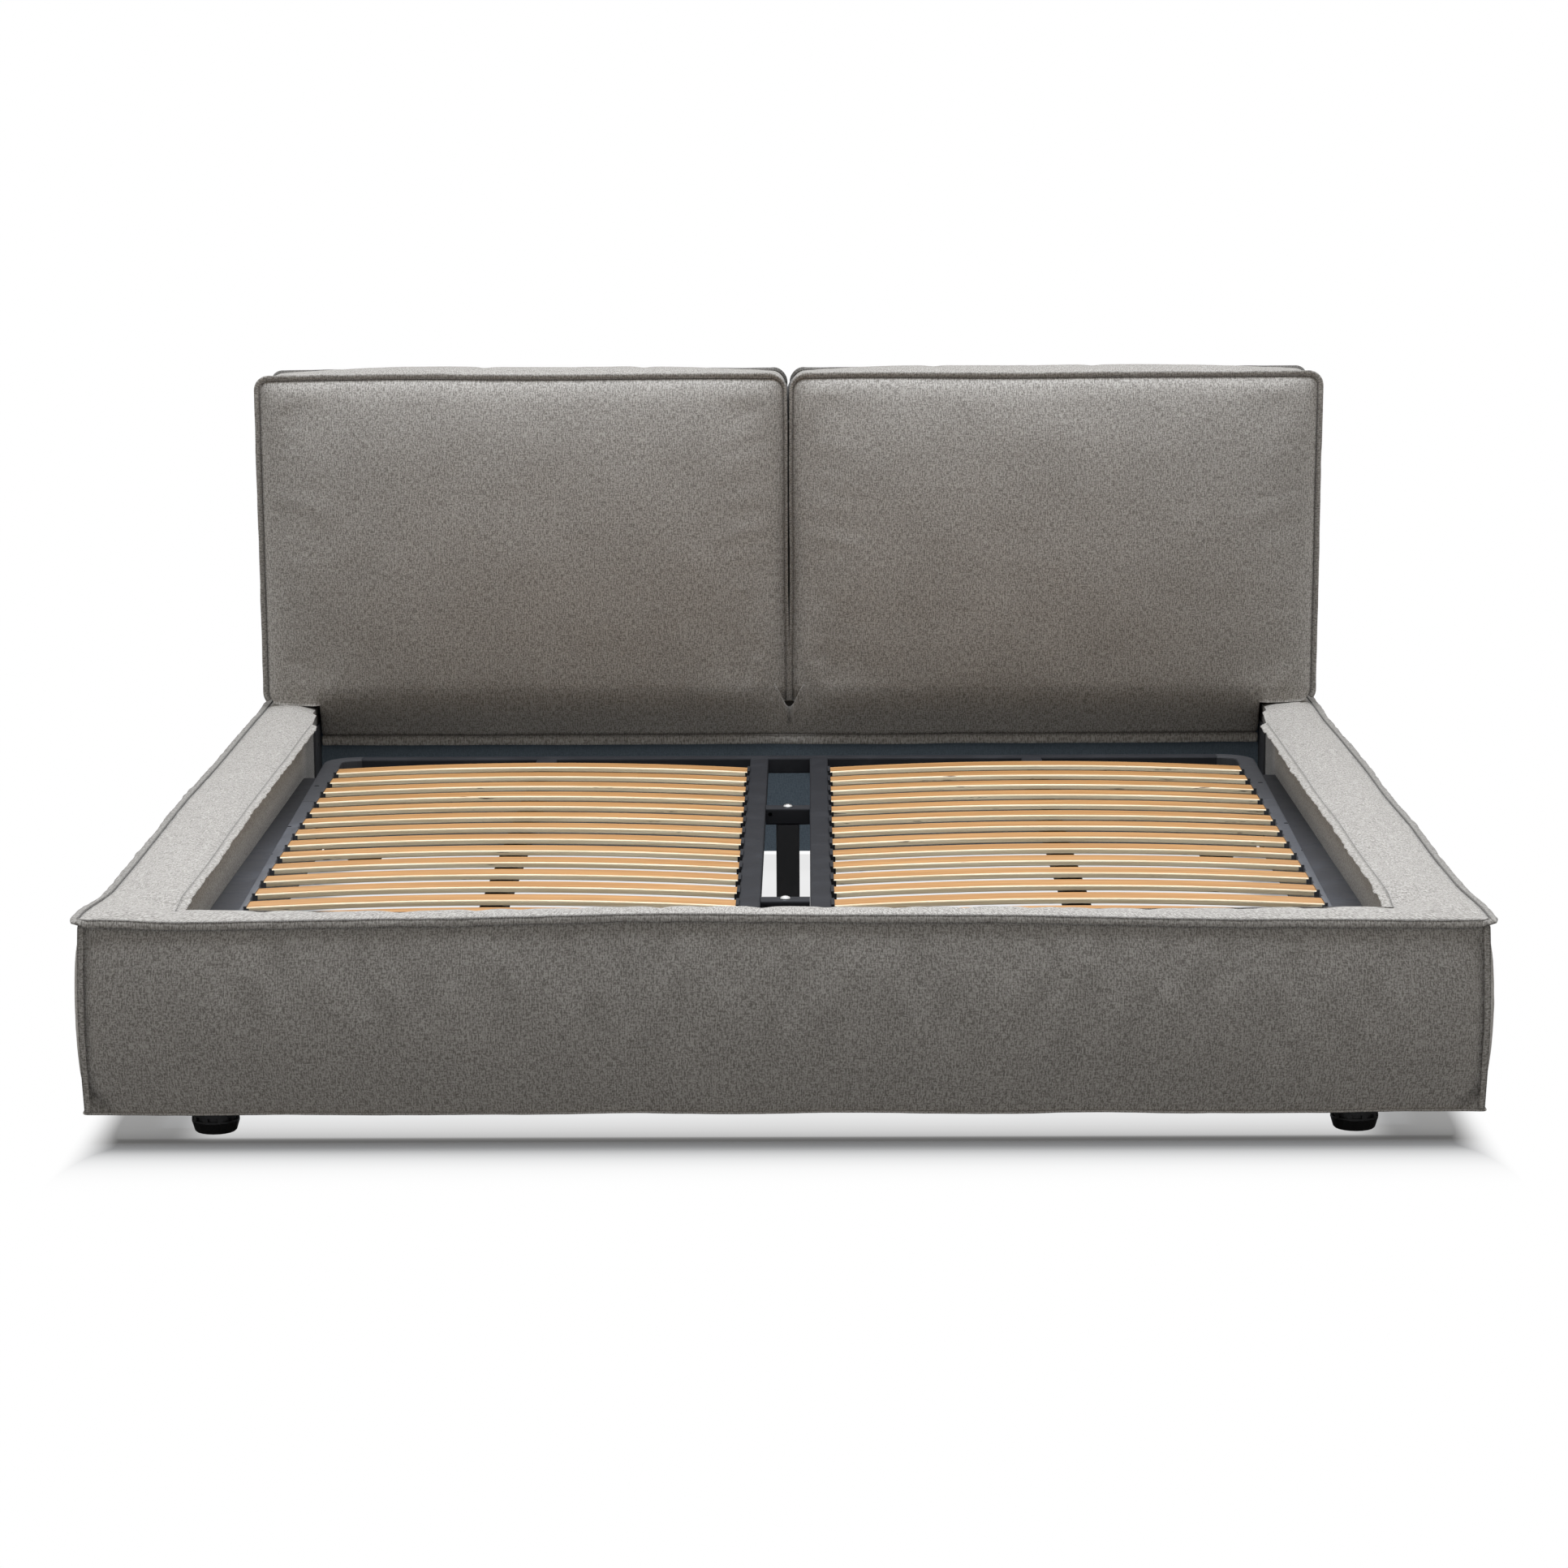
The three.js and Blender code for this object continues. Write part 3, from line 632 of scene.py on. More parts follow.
def creaseSeams(piece, where):
    mesh = piece.data
    work = bmesh.new()
    work.from_mesh(mesh)
    crease = work.edges.layers.float.new("crease_edge")
    for edge in work.edges:
        if len(edge.link_faces) == 2 and edge.calc_face_angle() > math.radians(creaseAngle):
            if where((edge.verts[0].co + edge.verts[1].co) / 2):
                edge[crease] = 1
    work.to_mesh(mesh)
    work.free()


def shapeBy(piece, move):
    mesh = piece.data
    normals = [Vector(normal.vector) for normal in mesh.vertex_normals]
    spots = [vert.co.copy() for vert in mesh.vertices]
    moved = [spot + move(spot, normal) for spot, normal in zip(spots, normals)]
    mesh.vertices.foreach_set("co", [value for spot in moved for value in spot])
    mesh.update()


def paintShade(piece, darkness):
    # painted shade: how dark the cloth is made in a seam, under a lip or in another nook, 0 to 1
    mesh = piece.data
    values = [darkness(vert.co) for vert in mesh.vertices]
    for loop, held in zip(mesh.loops, mesh.attributes["seam"].data):
        held.value = max(held.value, values[loop.vertex_index])


def softBumps(co, broad, fine, offset):
    return noise.noise(co / broad) + 0.5 * noise.noise(co / fine + Vector(offset))


# padded surround: footboard and side rails under one cover

sideLow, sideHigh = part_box("side_pad_right")
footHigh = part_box("footboard_pad")[1]
surround = {
    "cell": 0.012,
    "topGap": 0.008,            # top seam below the top of the box
    "belly": 0.012,             # outer wall, fullest between its seams
    "bellyFade": 0.05,          # from a corner seam to the full belly
    "wider": 0.004,             # front corners, out past the box
    "flare": -0.0015,           # bottom seam out from the top one
    "bow": 0.0035,              # corner seams, out at half height
    "waist": 0.012,             # side seams in from the front corners
    "sillRise": 0.0056,         # bottom edge above its box
    "arch": 0.0085,             # front seam higher along the middle
    "leftLift": 0.005,          # front left corner higher
    "slump": 0.0095,            # footboard's inner edge lower than its front seam
    "crown": 0.0085,
    "cornerBlend": 0.075,       # softens the crown round the corners
    "overhang": 0.016,
    "innerLip": 0.015,
    "rollDepth": 0.026,
    "rearBulge": 0.004,
    "lipEndsAt": 0.734,
    "wave": 0.0025,             # seams rise and fall
    "waveLength": 0.4,
    "pressure": 2.5,
    "slack": 0.010,
    "cap": 0.006,
    "lively": 1.0,
    "dimples": 0.0014,
    "foldDepth": 0.007,         # fold up from the bottom corners
    # painted shade on the top lip where it lies level and faces up
    "sideDim": 0.50,            # darker where the lip lies level
    "lipWidth": 0.0125,
    "lipThick": 0.0034,
    "lipStep": 0.006,
    "bottomLip": 0.0042,
}
overhang = surround["overhang"]
seamHalf = footHigh[0] + surround["wider"]
wallHalf = sideLow[0] + overhang + surround["innerLip"]
padDepth = seamHalf - wallHalf
footWall = footHigh[1] - overhang - surround["innerLip"]
footSeam = footWall - padDepth
rearEnd = sideHigh[1]
padBottom = sideLow[2] + surround["sillRise"]
padTop = sideHigh[2] - surround["topGap"]
padRise = padTop - padBottom
runs = {"left": 11, "front": 0, "right": 17}     # in order round the bed, and where their threads start


def alongRun(run, s, t):       # s is the distance out from the inner wall
    if run == "front":
        return lerp(-wallHalf - s, wallHalf + s, t), footWall - s
    side = -1 if run == "left" else 1
    return side * (wallHalf + s), lerp(footWall - s, rearEnd, t)


def seamWave(x, y, z):
    lift = ease(z, padBottom, padTop)
    away = 1 - ease(y, 0.75, 0.95)
    wave = wobble(x / surround["waveLength"], y / surround["waveLength"], 4.2)
    sway = wobble(x / 0.5, y / 0.5, z / 0.3 + 9.1)
    low = wobble(x / 0.21, y / 0.21, 7.7)
    rise = surround["wave"] * (2 * wave * lift * away + 1.2 * low * (1 - lift))
    back = y - footSeam        # in from the footboard's front
    rise += lift * surround["arch"] * (
        ease(x, -0.88, -0.58) * (1 - ease(x, 0, 0.98)) * (1 - ease(back, 0, padDepth)))
    rise += lift * surround["leftLift"] * (1 - ease(x, -1.03, -0.90)) * (1 - ease(back, 0.03, 0.25))
    rise -= lift * surround["slump"] * ease(back, 0, padDepth) * (
        (1 - ease(back, padDepth + 0.02, padDepth + 0.10))
        * (1 - ease(abs(x), wallHalf - 0.02, wallHalf + 0.06)))
    share = ease(abs(x) - wallHalf, 0, padDepth) * ease(back, 0.04, 0.28) * lift
    inset = math.copysign(surround["waist"] * share, x)
    return Vector((x + 0.002 * sway - inset, y, z + rise))


def runLength(run):
    return 2 * seamHalf if run == "front" else rearEnd - footSeam


def outerDepth(run, t, v):
    corner = min(t, 1 - t) * runLength(run)
    fade = ease(corner, 0, surround["bellyFade"])
    flat = padDepth + surround["flare"] * (1 - v) + surround["bow"] * arc(v)
    return flat + surround["belly"] * fade * arc(v) ** 0.85


def innerDepth(run, t):        # top panel past the inner wall
    if run == "front":
        return -overhang
    y = lerp(footWall, rearEnd, t)
    short = 0.35 * ease(y, surround["lipEndsAt"], 0.87)
    return -overhang * (1 - short) * (1 - ease(y, 0.865, 0.905))


def outerWall(run):
    def at(t, v):
        x, y = alongRun(run, outerDepth(run, t, v), t)
        return seamWave(x, y, lerp(padBottom, padTop, v))
    return at


def topPanel(run):
    def at(t, v):
        s = lerp(padDepth, innerDepth(run, t), v)
        x, y = alongRun(run, s, t)
        a, b = seamHalf - abs(x), y - footSeam
        blend = surround["cornerBlend"] * 4 * v * (1 - v)
        d = min(a, b)
        if abs(a - b) < blend:
            d -= (blend - abs(a - b)) ** 2 / (4 * blend)
        share = min(1, max(0, d / (padDepth - innerDepth(run, t))))
        rise = arc(share) ** 0.8 if 0 < share < 1 else 0
        return seamWave(x, y, padTop + surround["crown"] * rise)
    return at


def innerWall(run):
    def at(t, v):
        z = lerp(padTop, padBottom, v)
        s = innerDepth(run, t) * (1 - ease(padTop - z, 0, surround["rollDepth"]))
        x, y = alongRun(run, s, t)
        return seamWave(x, y, z)
    return at


def underside(run):
    def at(t, v):
        x, y = alongRun(run, lerp(0, padDepth + surround["flare"], v), t)
        return seamWave(x, y, padBottom)
    return at


def rearFace(side):
    run = "left" if side < 0 else "right"

    def at(u, w):
        outer = outerWall(run)(1, w)
        inner = innerWall(run)(1, 1 - w)
        top = topPanel(run)(1, u)
        rise = lerp(outer.z, inner.z, u) + (top.z - padTop) * w * ease(w, 0.6, 1)
        bulge = surround["rearBulge"] * arc(u) * arc(w)
        return Vector((lerp(outer.x, inner.x, u), rearEnd + bulge, rise))
    return at


def cornerFold(co):            # the fold up from a bottom corner of the footboard
    aside = seamHalf - abs(co.x)
    off = (co.z - padBottom) - 0.042 + 0.95 * aside
    return dip(off, 0.007) * ease(aside, 0.0, 0.006) * (1 - ease(aside, 0.03, 0.045))


def dimpleCover(co, normal):
    aside = seamHalf - abs(co.x)
    if co.z > padTop + 0.001:
        depth = ease(min(aside, co.y - footSeam), 0.0, 0.02)
    else:
        depth = ease(min(padTop - co.z, co.z - padBottom), 0, 0.05)
    if abs(co.x) < wallHalf + 0.01 and co.y > footWall - 0.01:
        depth = 0
    move = normal * (surround["dimples"] * softBumps(co, 0.13, 0.05, (3, 1, 7)) * depth)
    if co.z > padTop - 0.005 and co.y > footWall:      # pleats beside the inner lip
        near = ease(abs(co.x), wallHalf - 0.02, wallHalf) * (
            1 - ease(abs(co.x), wallHalf, wallHalf + 0.055))
        full = 0.0017 * (1 - 0.6 * ease(co.y, -0.5, 0.6)) if co.x > 0 else 0.0005
        move.z += full * near * ripple(co.y + 0.4 * abs(co.x), 0.022, 5 + co.x)
    if co.y < footSeam + 0.03 and aside < 0.06:
        move.y += surround["foldDepth"] * cornerFold(co)
    return move


# painted shade: the inner walls darker towards the headboard, where the cushions shade them, and a dark
# line along the fold up from each bottom corner
def coverShade(co):
    inside = abs(co.x) < wallHalf + 0.004 and co.z < padTop - 0.012
    deep = 0.85 * ease(co.y, 0.70, 0.80) if inside else 0
    fold = 0.9 * cornerFold(co) if co.y < footSeam + 0.01 and co.z < 0.1 else 0
    return max(deep, fold)


def makeSurround():
    shell = startShell()
    cell = surround["cell"]
    rows = spaced(0, 1, cell / padRise)
    across = spaced(0, 1, cell / (padDepth + overhang))
    for run, offset in runs.items():
        length = runLength(run)
        columns = spaced(0, 1, cell / length)

        def wallSlack(t, v):
            return ease(min(v, 1 - v), 0, 0.10) * ease(min(t, 1 - t) * length, 0, 0.02)

        def topSlack(t, v):
            return ease(min(v, 1 - v), 0, 0.2) * ease(1 - t, 0, 0.02)

        for rowsHere, pointAt, start, rise, slackAt in (
                (rows, outerWall, 0, padRise, wallSlack),
                (across, topPanel, padRise, padDepth, topSlack),
                (rows, innerWall, padRise * 1.6, padRise, pinned),
                (across, underside, -1, padDepth, pinned)):
            addPatch(shell, columns, rowsHere, pointAt(run),
                     lambda t, v: (offset + t * length, start + v * rise, offset), slackAt, run == "left")
    for side in (-1, 1):
        addPatch(shell, across, rows, rearFace(side),
                 lambda u, w: (30 + side + u * padDepth, w * padRise, 3), flip=side > 0)
    piece = newPiece("surroundCover", shell, "linen_surround")
    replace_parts(piece, "side_pad_left", "side_pad_right", "footboard_pad")
    creaseSeams(piece, lambda at: (at.z > padTop - 0.03 or at.z < padBottom + 0.01
                                   or abs(at.x) > wallHalf + 0.02))
    puffOut(piece, surround)
    shapeBy(piece, dimpleCover)
    subdivide(piece)
    paintShade(piece, coverShade)
    return piece


def seamStations(curve, acrossAt, faceAt, seed, step=0.006, vary=0.10):
    # evenly spaced stations along a list of points
    lengths = [0]
    for a, b in zip(curve, curve[1:]):
        lengths.append(lengths[-1] + (b - a).length)
    count = max(2, round(lengths[-1] / step))
    stations = []
    k = 0
    for i in range(count + 1):
        along = lengths[-1] * i / count
        while k < len(curve) - 2 and lengths[k + 1] < along:
            k += 1
        t = (along - lengths[k]) / max(1e-9, lengths[k + 1] - lengths[k])
        point = curve[k].lerp(curve[k + 1], min(1, max(0, t)))
        share = 1 + vary * ripple(along, 0.035, seed) + 0.5 * vary * ripple(along, 0.012, seed + 5)
        stations.append((point, acrossAt(point, along), faceAt(point, along), share, along))
    return stations


def surfaceOf(piece):
    return BVHTree.FromObject(piece, bpy.context.evaluated_depsgraph_get())


def standOff(surface, point, direction, out):
    # how far out a lip has to stand so that it clears a surface
    gap = surround["lipThick"] * 0.45
    need = gap
    for share in (0.3, 0.65, 1.0):
        spot = point + direction * (surround["lipWidth"] * share)
        hit = surface.ray_cast(spot + out * 0.03, -out, 0.06)[0]
        if hit is not None:
            need = max(need, (hit - spot).dot(out) + gap)
    return min(0.009, need)


def evened(values, reach=4):
    return [sum(near) / len(near)
            for near in (values[max(0, i - reach):i + reach + 1] for i in range(len(values)))]


def layAlong(surface, stations, direction, out, easing, dimming=0.0):
    # the stations again, each with the side the lip shows, its stand-off and its painted shade
    stands = evened([standOff(surface, station[0], direction, out(station[0])) * easing(station[0])
                     for station in stations])
    laid = []
    for (point, across, _, share, along), stand in zip(stations, stands):
        straight = across.normalized()
        face = out(point)
        face = (face - straight * face.dot(straight)).normalized()
        # painted shade grows as the lip lies level and faces up
        level = face.z ** 2 if dimming else 0
        laid.append((point, across, face, share * (1 + 0.22 * level), along, stand, dimming * level))
    return laid


def roundTheBed(point, half=seamHalf, foot=footSeam):
    # outward direction and how far round a corner the point is, 0 to 1
    a, b = half - abs(point.x), point.y - foot
    side = Vector((math.copysign(1, point.x), 0, 0))
    turn = 0.5 * (1 - ease(max(a, b), 0, 0.014))
    flat, other = (side, towardFoot) if a < b else (towardFoot, side)
    return (flat * (1 - turn) + other * turn).normalized(), 2 * turn


def lineRound(lineAt):         # one line round the three runs, from the left one's rear end
    points = []
    for run in runs:
        line = lineAt(run)
        if run == "left":
            line.reverse()
        points.extend(line[1:] if points else line)
    return points


def wallSeam(v):               # a seam of the outer wall: 0 the bottom one, 1 the top one
    return lineRound(lambda run: [outerWall(run)(t, v)
                                  for t in spaced(0, 1, surround["lipStep"] / runLength(run))])


def addTopLip(shell, surface):
    def hang(point, along):
        outward, corner = roundTheBed(point)
        sideways = outward.x ** 2 * (1 - corner)
        droop = lerp(82, 12, sideways) + 7 * ripple(along, 0.09, 2.2) + 5 * ripple(along, 0.03, 7.1)
        ear = ease(corner, 0.15, 0.9)
        droop = math.radians(lerp(droop, 24, ear))
        return (outward * math.cos(droop) - upward * math.sin(droop)) * (1 - 0.1 * ear)

    def facing(point):
        return roundTheBed(point)[0] + upward * 0.1

    def easing(point):
        outward, corner = roundTheBed(point)
        return (1 - corner) * outward.y ** 2

    stations = seamStations(wallSeam(1), hang, lambda *_: upward, 1.3)
    addLip(shell, layAlong(surface, stations, -upward, facing, easing, surround["sideDim"]),
           surround["lipWidth"], surround["lipThick"])


def addCornerLips(shell, surface):     # upright, lying on the front face
    for side in (-1, 1):
        inward = Vector((-side, 0, 0))
        line = [outerWall("front")(0 if side < 0 else 1, v) for v in spaced(0.0, 0.975, 0.02)]
        stations = seamStations(line, lambda *_: inward, lambda *_: towardFoot, 3 + side)
        laid = layAlong(surface, stations, inward, lambda point: towardFoot, lambda point: 1)
        addLip(shell, laid, surround["lipWidth"] * 0.78, surround["lipThick"] * 0.9, side > 0)


def addBottomLip(shell):
    def below(point, along):
        return (roundTheBed(point)[0] * (0.8 + 0.3 * ripple(along, 0.06, 8.8)) - upward).normalized()

    def outside(point, along):
        return (roundTheBed(point)[0] + upward * 0.5).normalized()

    stations = seamStations(wallSeam(0), below, outside, 6.1)
    addLip(shell, stations, surround["bottomLip"], surround["lipThick"] * 0.8)


def addInnerLip(shell):        # level and wavy, the right one pleated
    def edgeLine(run):
        line = [topPanel(run)(t, 1) for t in spaced(0, 1, 0.005 / runLength(run))]
        return [p for p in line if run == "front" or p.y < surround["lipEndsAt"]]

    def inward(point, along):
        outward, corner = roundTheBed(point, wallHalf - overhang, footWall + overhang)
        rough = 1.7 if point.x > 0.5 else 0.9
        tilt = rough * (0.13 * ripple(along, 0.055, 3.7) + 0.06 * ripple(along, 0.022, 1.9))
        tilt -= lerp(0.16, 0.7, outward.y ** 2 * (1 - corner))
        return -outward * (1 + 0.3 * corner) + upward * tilt

    stations = seamStations(lineRound(edgeLine), inward, lambda *_: upward, 9.4, step=0.004, vary=0.16)
    total = stations[-1][4]
    ended = []
    for point, across, face, share, along in stations:
        if point.x > 0.5:
            share *= 1.08 + 0.13 * ripple(along, 0.036, 2.9) + 0.07 * ripple(along, 0.017, 6.3)
        share *= ease(min(along, total - along), -0.002, 0.022)     # pointed at its two ends
        ended.append((point, across, face, max(0.12, share), along))
    addLip(shell, ended, surround["innerLip"], 0.003)


def makeSurroundLips(cover):
    shell = startShell()
    surface = surfaceOf(cover)
    addTopLip(shell, surface)
    addCornerLips(shell, surface)
    addBottomLip(shell)
    addInnerLip(shell)
    subdivide(newPiece("surroundLips", shell, "linen_surround"))


makeSurroundLips(makeSurround())
print("surround made")


# headboard cushions, each one slipped over the lined panel

cushionLow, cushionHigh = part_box("cushion_right")
panelLow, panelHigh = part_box("head_panel")
cushion = {
    "cell": 0.0118,
    "belly": 0.080,
    "bellyAt": 0.40,            # height of the fullest point
    "bellyFoot": 0.73,
    "squareness": 4.6,          # of the belly from side to side
    "crown": 0.012,             # seam below the box's top
    "crownRise": 0.016,
    "backBelly": 0.010,
    "depthThreads": 0.22,       # length of weave from front to back
    "sideBelly": 0.004,
    "slit": 0.0082,             # half the gap between the two, filled by their lips
    "opening": -0.0028,         # slit, narrower towards its foot
    "meet": 0.0011,             # half the gap between the two behind the slit
    "sway": 0.0036,             # and how far the gap bends sideways, so that nothing shows through
    "recess": 0.016,            # foot drawn back behind the skirt
    "pressure": 2.5,
    "slack": 0.006,
    "cap": 0.006,
    "lively": 0.6,              # how much of the simulated wrinkles is kept
    "dimples": 0.0018,
    "pocketGap": 0.0005,
    "lipWidth": 0.0112,
    "lipThick": 0.0034,
    "topOuter": 0.018,          # corner roundings
    "topInner": 0.024,
    "footOuter": 0.022,
}
slitHalf = cushion["slit"]
frontSeam = panelLow[1] - 0.011
backSeam = cushionHigh[1] - 0.012
cushionFoot = cushionLow[2]
cushionTop = cushionHigh[2] - cushion["crown"]
cushionOut = cushionHigh[0] - 0.004
cushionRise = cushionTop - cushionFoot


def cushionSeam(x, z, side):   # rounded at the corners and a little wavy; x counts out from the middle
    for edgeX, outX, edgeZ, outZ, r in (
            (cushionOut, 1, cushionTop, 1, cushion["topOuter"]),
            (slitHalf, -1, cushionTop, 1, cushion["topInner"]),
            (cushionOut, 1, cushionFoot, -1, cushion["footOuter"])):
        a = 1 - (edgeX - x) * outX / r
        b = 1 - (edgeZ - z) * outZ / r
        if a > 0 and b > 0:
            x = edgeX - outX * r * (1 - a * math.sqrt(max(0, 1 - b * b / 2)))
            z = edgeZ - outZ * r * (1 - b * math.sqrt(max(0, 1 - a * a / 2)))
            break
    drop = ease(z, cushionFoot + 0.3, cushionTop)
    lean = 0.004 * (1 - ease(z, cushionFoot, cushionTop)) * ease(x, 0.5, cushionOut)
    lean -= cushion["opening"] * (1 - ease(z, 0.385, 0.60)) * (1 - ease(x, 0.0, 0.2))
    return (x - lean + 0.0016 * wobble(z / 0.22, 3 + side, 2),
            z + 0.0022 * wobble(x / 0.3, 3 + side, 5) * drop)


def shareAcross(x):            # -1 at the slit, 1 at the outer edge
    return 2 * (x - slitHalf) / (cushionOut - slitHalf) - 1


def cushionBelly(x, z):
    rise = min(1, max(0, (z - cushionFoot) / cushionRise))
    at = cushion["bellyAt"]
    if rise > at:
        fullness = math.sqrt(1 - ((rise - at) / (1 - at)) ** 2)
    else:
        fullness = math.cos((at - rise) / at * math.acos(cushion["bellyFoot"]))
    wide = max(0, 1 - abs(shareAcross(x)) ** cushion["squareness"])
    return cushion["belly"] * fullness * math.sqrt(wide)


def cutPocket(piece):          # the room inside for the head panel, open below
    gap = cushion["pocketGap"]
    low = Vector((panelLow[0] - gap, panelLow[1] - gap, cushionFoot - 0.05))
    high = Vector((panelHigh[0] + gap, panelHigh[1] + gap, panelHigh[2] + gap))
    block = bmesh.new()
    bmesh.ops.create_cube(block, size=1, matrix=Matrix.Translation((low + high) / 2)
                          @ Matrix.Diagonal((*(high - low), 1)))
    mesh = bpy.data.meshes.new("pocketBlock")
    block.to_mesh(mesh)
    block.free()
    cutter = addObject("pocketBlock", mesh)
    cut = piece.modifiers.new("pocket", "BOOLEAN")
    cut.operation = "DIFFERENCE"
    cut.solver = "EXACT"
    cut.object = cutter
    shaped = piece.evaluated_get(bpy.context.evaluated_depsgraph_get())
    whole = bpy.data.meshes.new_from_object(shaped)
    piece.modifiers.clear()
    piece.data = whole
    bpy.data.objects.remove(cutter)


def freePart(low, high, lowV, highV):      # how loose the cloth is, none at the seams
    def at(u, v):
        return (ease(min(u - low, high - u), 0, 0.035 * (high - low) / 0.6)
                * ease(min(v - lowV, highV - v), 0, 0.035 * (highV - lowV) / 0.6))
    return at


def makeCushion(name, side):
    def place(x, y, z):
        x, z = cushionSeam(x, z, side)
        return Vector((side * x, y, z))

    def front(x, z):
        drawn = cushion["recess"] * (1 - ease(z, cushionFoot, cushionFoot + 0.028))
        drawn *= 1 - ease(x, panelHigh[0] - 0.012, panelHigh[0] + 0.008)
        return place(x, frontSeam - cushionBelly(x, z) + drawn * ease(x, 0, 0.03), z)

    def back(x, z):
        full = arc((z - cushionFoot) / cushionRise) * arc((x - slitHalf) / (cushionOut - slitHalf))
        return place(x, backSeam + cushion["backBelly"] * max(0, full) ** 0.5, z)

    def top(x, t):
        point = place(x, lerp(frontSeam, backSeam, t), cushionTop)
        point.z += cushion["crownRise"] * arc(t) ** 0.8 * (1 - shareAcross(x) ** 4)
        return point

    def foot(x, t):
        return place(x, lerp(front(x, cushionFoot).y, backSeam, t), cushionFoot)

    def outerFlank(t, z):
        point = place(cushionOut, lerp(frontSeam, backSeam, t), z)
        rise = min(1, (z - cushionFoot) / cushionRise)
        point.x += side * cushion["sideBelly"] * arc(t) * max(0, arc(rise)) ** 0.6
        return point

    def slitFlank(t, z):        # the two cushions touch behind their seams
        point = place(slitHalf, lerp(frontSeam, backSeam, t), z)
        full = ease(z, cushionFoot, cushionFoot + 0.02) * (1 - ease(z, cushionTop - 0.022, cushionTop))
        full *= max(0, arc(t)) ** 0.5
        point.x = lerp(point.x, cushion["sway"] * arc(2 * t) + side * cushion["meet"], full)
        return point

    def dimple(co, normal):
        x = abs(co.x)
        edge = min(x - slitHalf, cushionOut - x, cushionTop - co.z + 0.02)
        depth = ease(edge, 0.0, 0.05) * ease(x - slitHalf, 0.004, 0.01)
        return normal * (cushion["dimples"] * softBumps(co, 0.16, 0.06, (3 + side, 1, 7)) * depth)

    # painted shade: dark on the flanks inside the slit, darkest behind the front seam
    def slitShade(co):
        return (1 - ease(abs(co.x), slitHalf - 0.001, slitHalf + 0.004)) * lerp(
            0.5, 1, ease(co.y, frontSeam, frontSeam + 0.01))

    shell = startShell()
    cell, weave = cushion["cell"], cushion["depthThreads"]
    xs = spaced(slitHalf, cushionOut, cell)
    zs = spaced(cushionFoot, cushionTop, cell)
    depth = spaced(0, 1, cell / (backSeam - frontSeam))
    loose = freePart(slitHalf, cushionOut, cushionFoot, cushionTop)
    flip = side < 0
    addPatch(shell, xs, zs, front, lambda x, z: (side * x, z, 0), loose, flip)
    addPatch(shell, xs, zs, back, lambda x, z: (side * x + 4, z, 1), loose, not flip)
    addPatch(shell, xs, depth, top, lambda x, t: (side * x, cushionTop + t * weave, 0),
             freePart(slitHalf, cushionOut, 0, 1), flip)
    addPatch(shell, xs, depth, foot, lambda x, t: (side * x + 7, t * weave, 0), flip=not flip)
    addPatch(shell, depth, zs, outerFlank, lambda t, z: (8 + t * weave, z, side),
             freePart(0, 1, cushionFoot, cushionTop), flip)
    addPatch(shell, depth, zs, slitFlank, lambda t, z: (9 + t * weave, z, side), flip=not flip)
    piece = newPiece(name, shell, "linen_cushion")
    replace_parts(piece, "cushion_" + ("left" if side < 0 else "right"))
    creaseSeams(piece, lambda at: at.z > cushionFoot + 0.02 or at.y > backSeam - 0.02)
    puffOut(piece, cushion)
    shapeBy(piece, dimple)
    subdivide(piece)
    cutPocket(piece)
    paintShade(piece, slitShade)
    return piece


def cushionOutline(side):      # up the outer edge, in along the top and down the slit
    step = 0.004
    path = [(cushionOut, z) for z in spaced(cushionFoot + 0.002, cushionTop, step)]
    path += [(x, cushionTop) for x in spaced(cushionOut, slitHalf, step)[1:]]
    path += [(slitHalf, z) for z in spaced(cushionTop, cushionFoot, step)[1:]]
    spots = [cushionSeam(x, z, side) for x, z in path]
    return [Vector((x, 0, z)) for x, z in spots]


def makeCushionLips(name, side):
    shell = startShell()
    outline = cushionOutline(side)
    mirror = Vector((side, 1, 1))
    for seamY, forward in ((frontSeam, -1), (backSeam, 1)):
        stations = []
        along = 0
        onward = Vector((0, forward, 0))
        for i, point in enumerate(outline):
            if i:
                along += (point - outline[i - 1]).length
            tangent = (outline[min(len(outline) - 1, i + 2)] - outline[max(0, i - 2)]).normalized()
            outward = Vector((tangent.z, 0, -tangent.x))
            inSlit = 1 - ease(point.x, slitHalf + 0.004, slitHalf + 0.03)
            spread = math.radians(lerp(9 if forward < 0 else 62, 22, inSlit)
                                  + 7 * ripple(along, 0.07, side * 2 + forward))
            across = outward * math.cos(spread) + onward * math.sin(spread)
            face = outward * -math.sin(spread) + onward * math.cos(spread)
            share = lerp(1, 0.68, inSlit) * (1 + 0.08 * ripple(along, 0.04, side + 3))
            stations.append((Vector((side * point.x, seamY, point.z)), across * mirror, face * mirror,
                             share, along))
        addLip(shell, stations, cushion["lipWidth"], cushion["lipThick"], side * forward > 0)
    subdivide(newPiece(name, shell, "linen_cushion"))


cushions = {}
for name, side in (("Left", -1), ("Right", 1)):
    cushions[side] = makeCushion("headCushion" + name, side)
    makeCushionLips("cushionLips" + name, side)
    print("cushion made:", name)


# skirt: the front cover below the cushions, ending in a hem

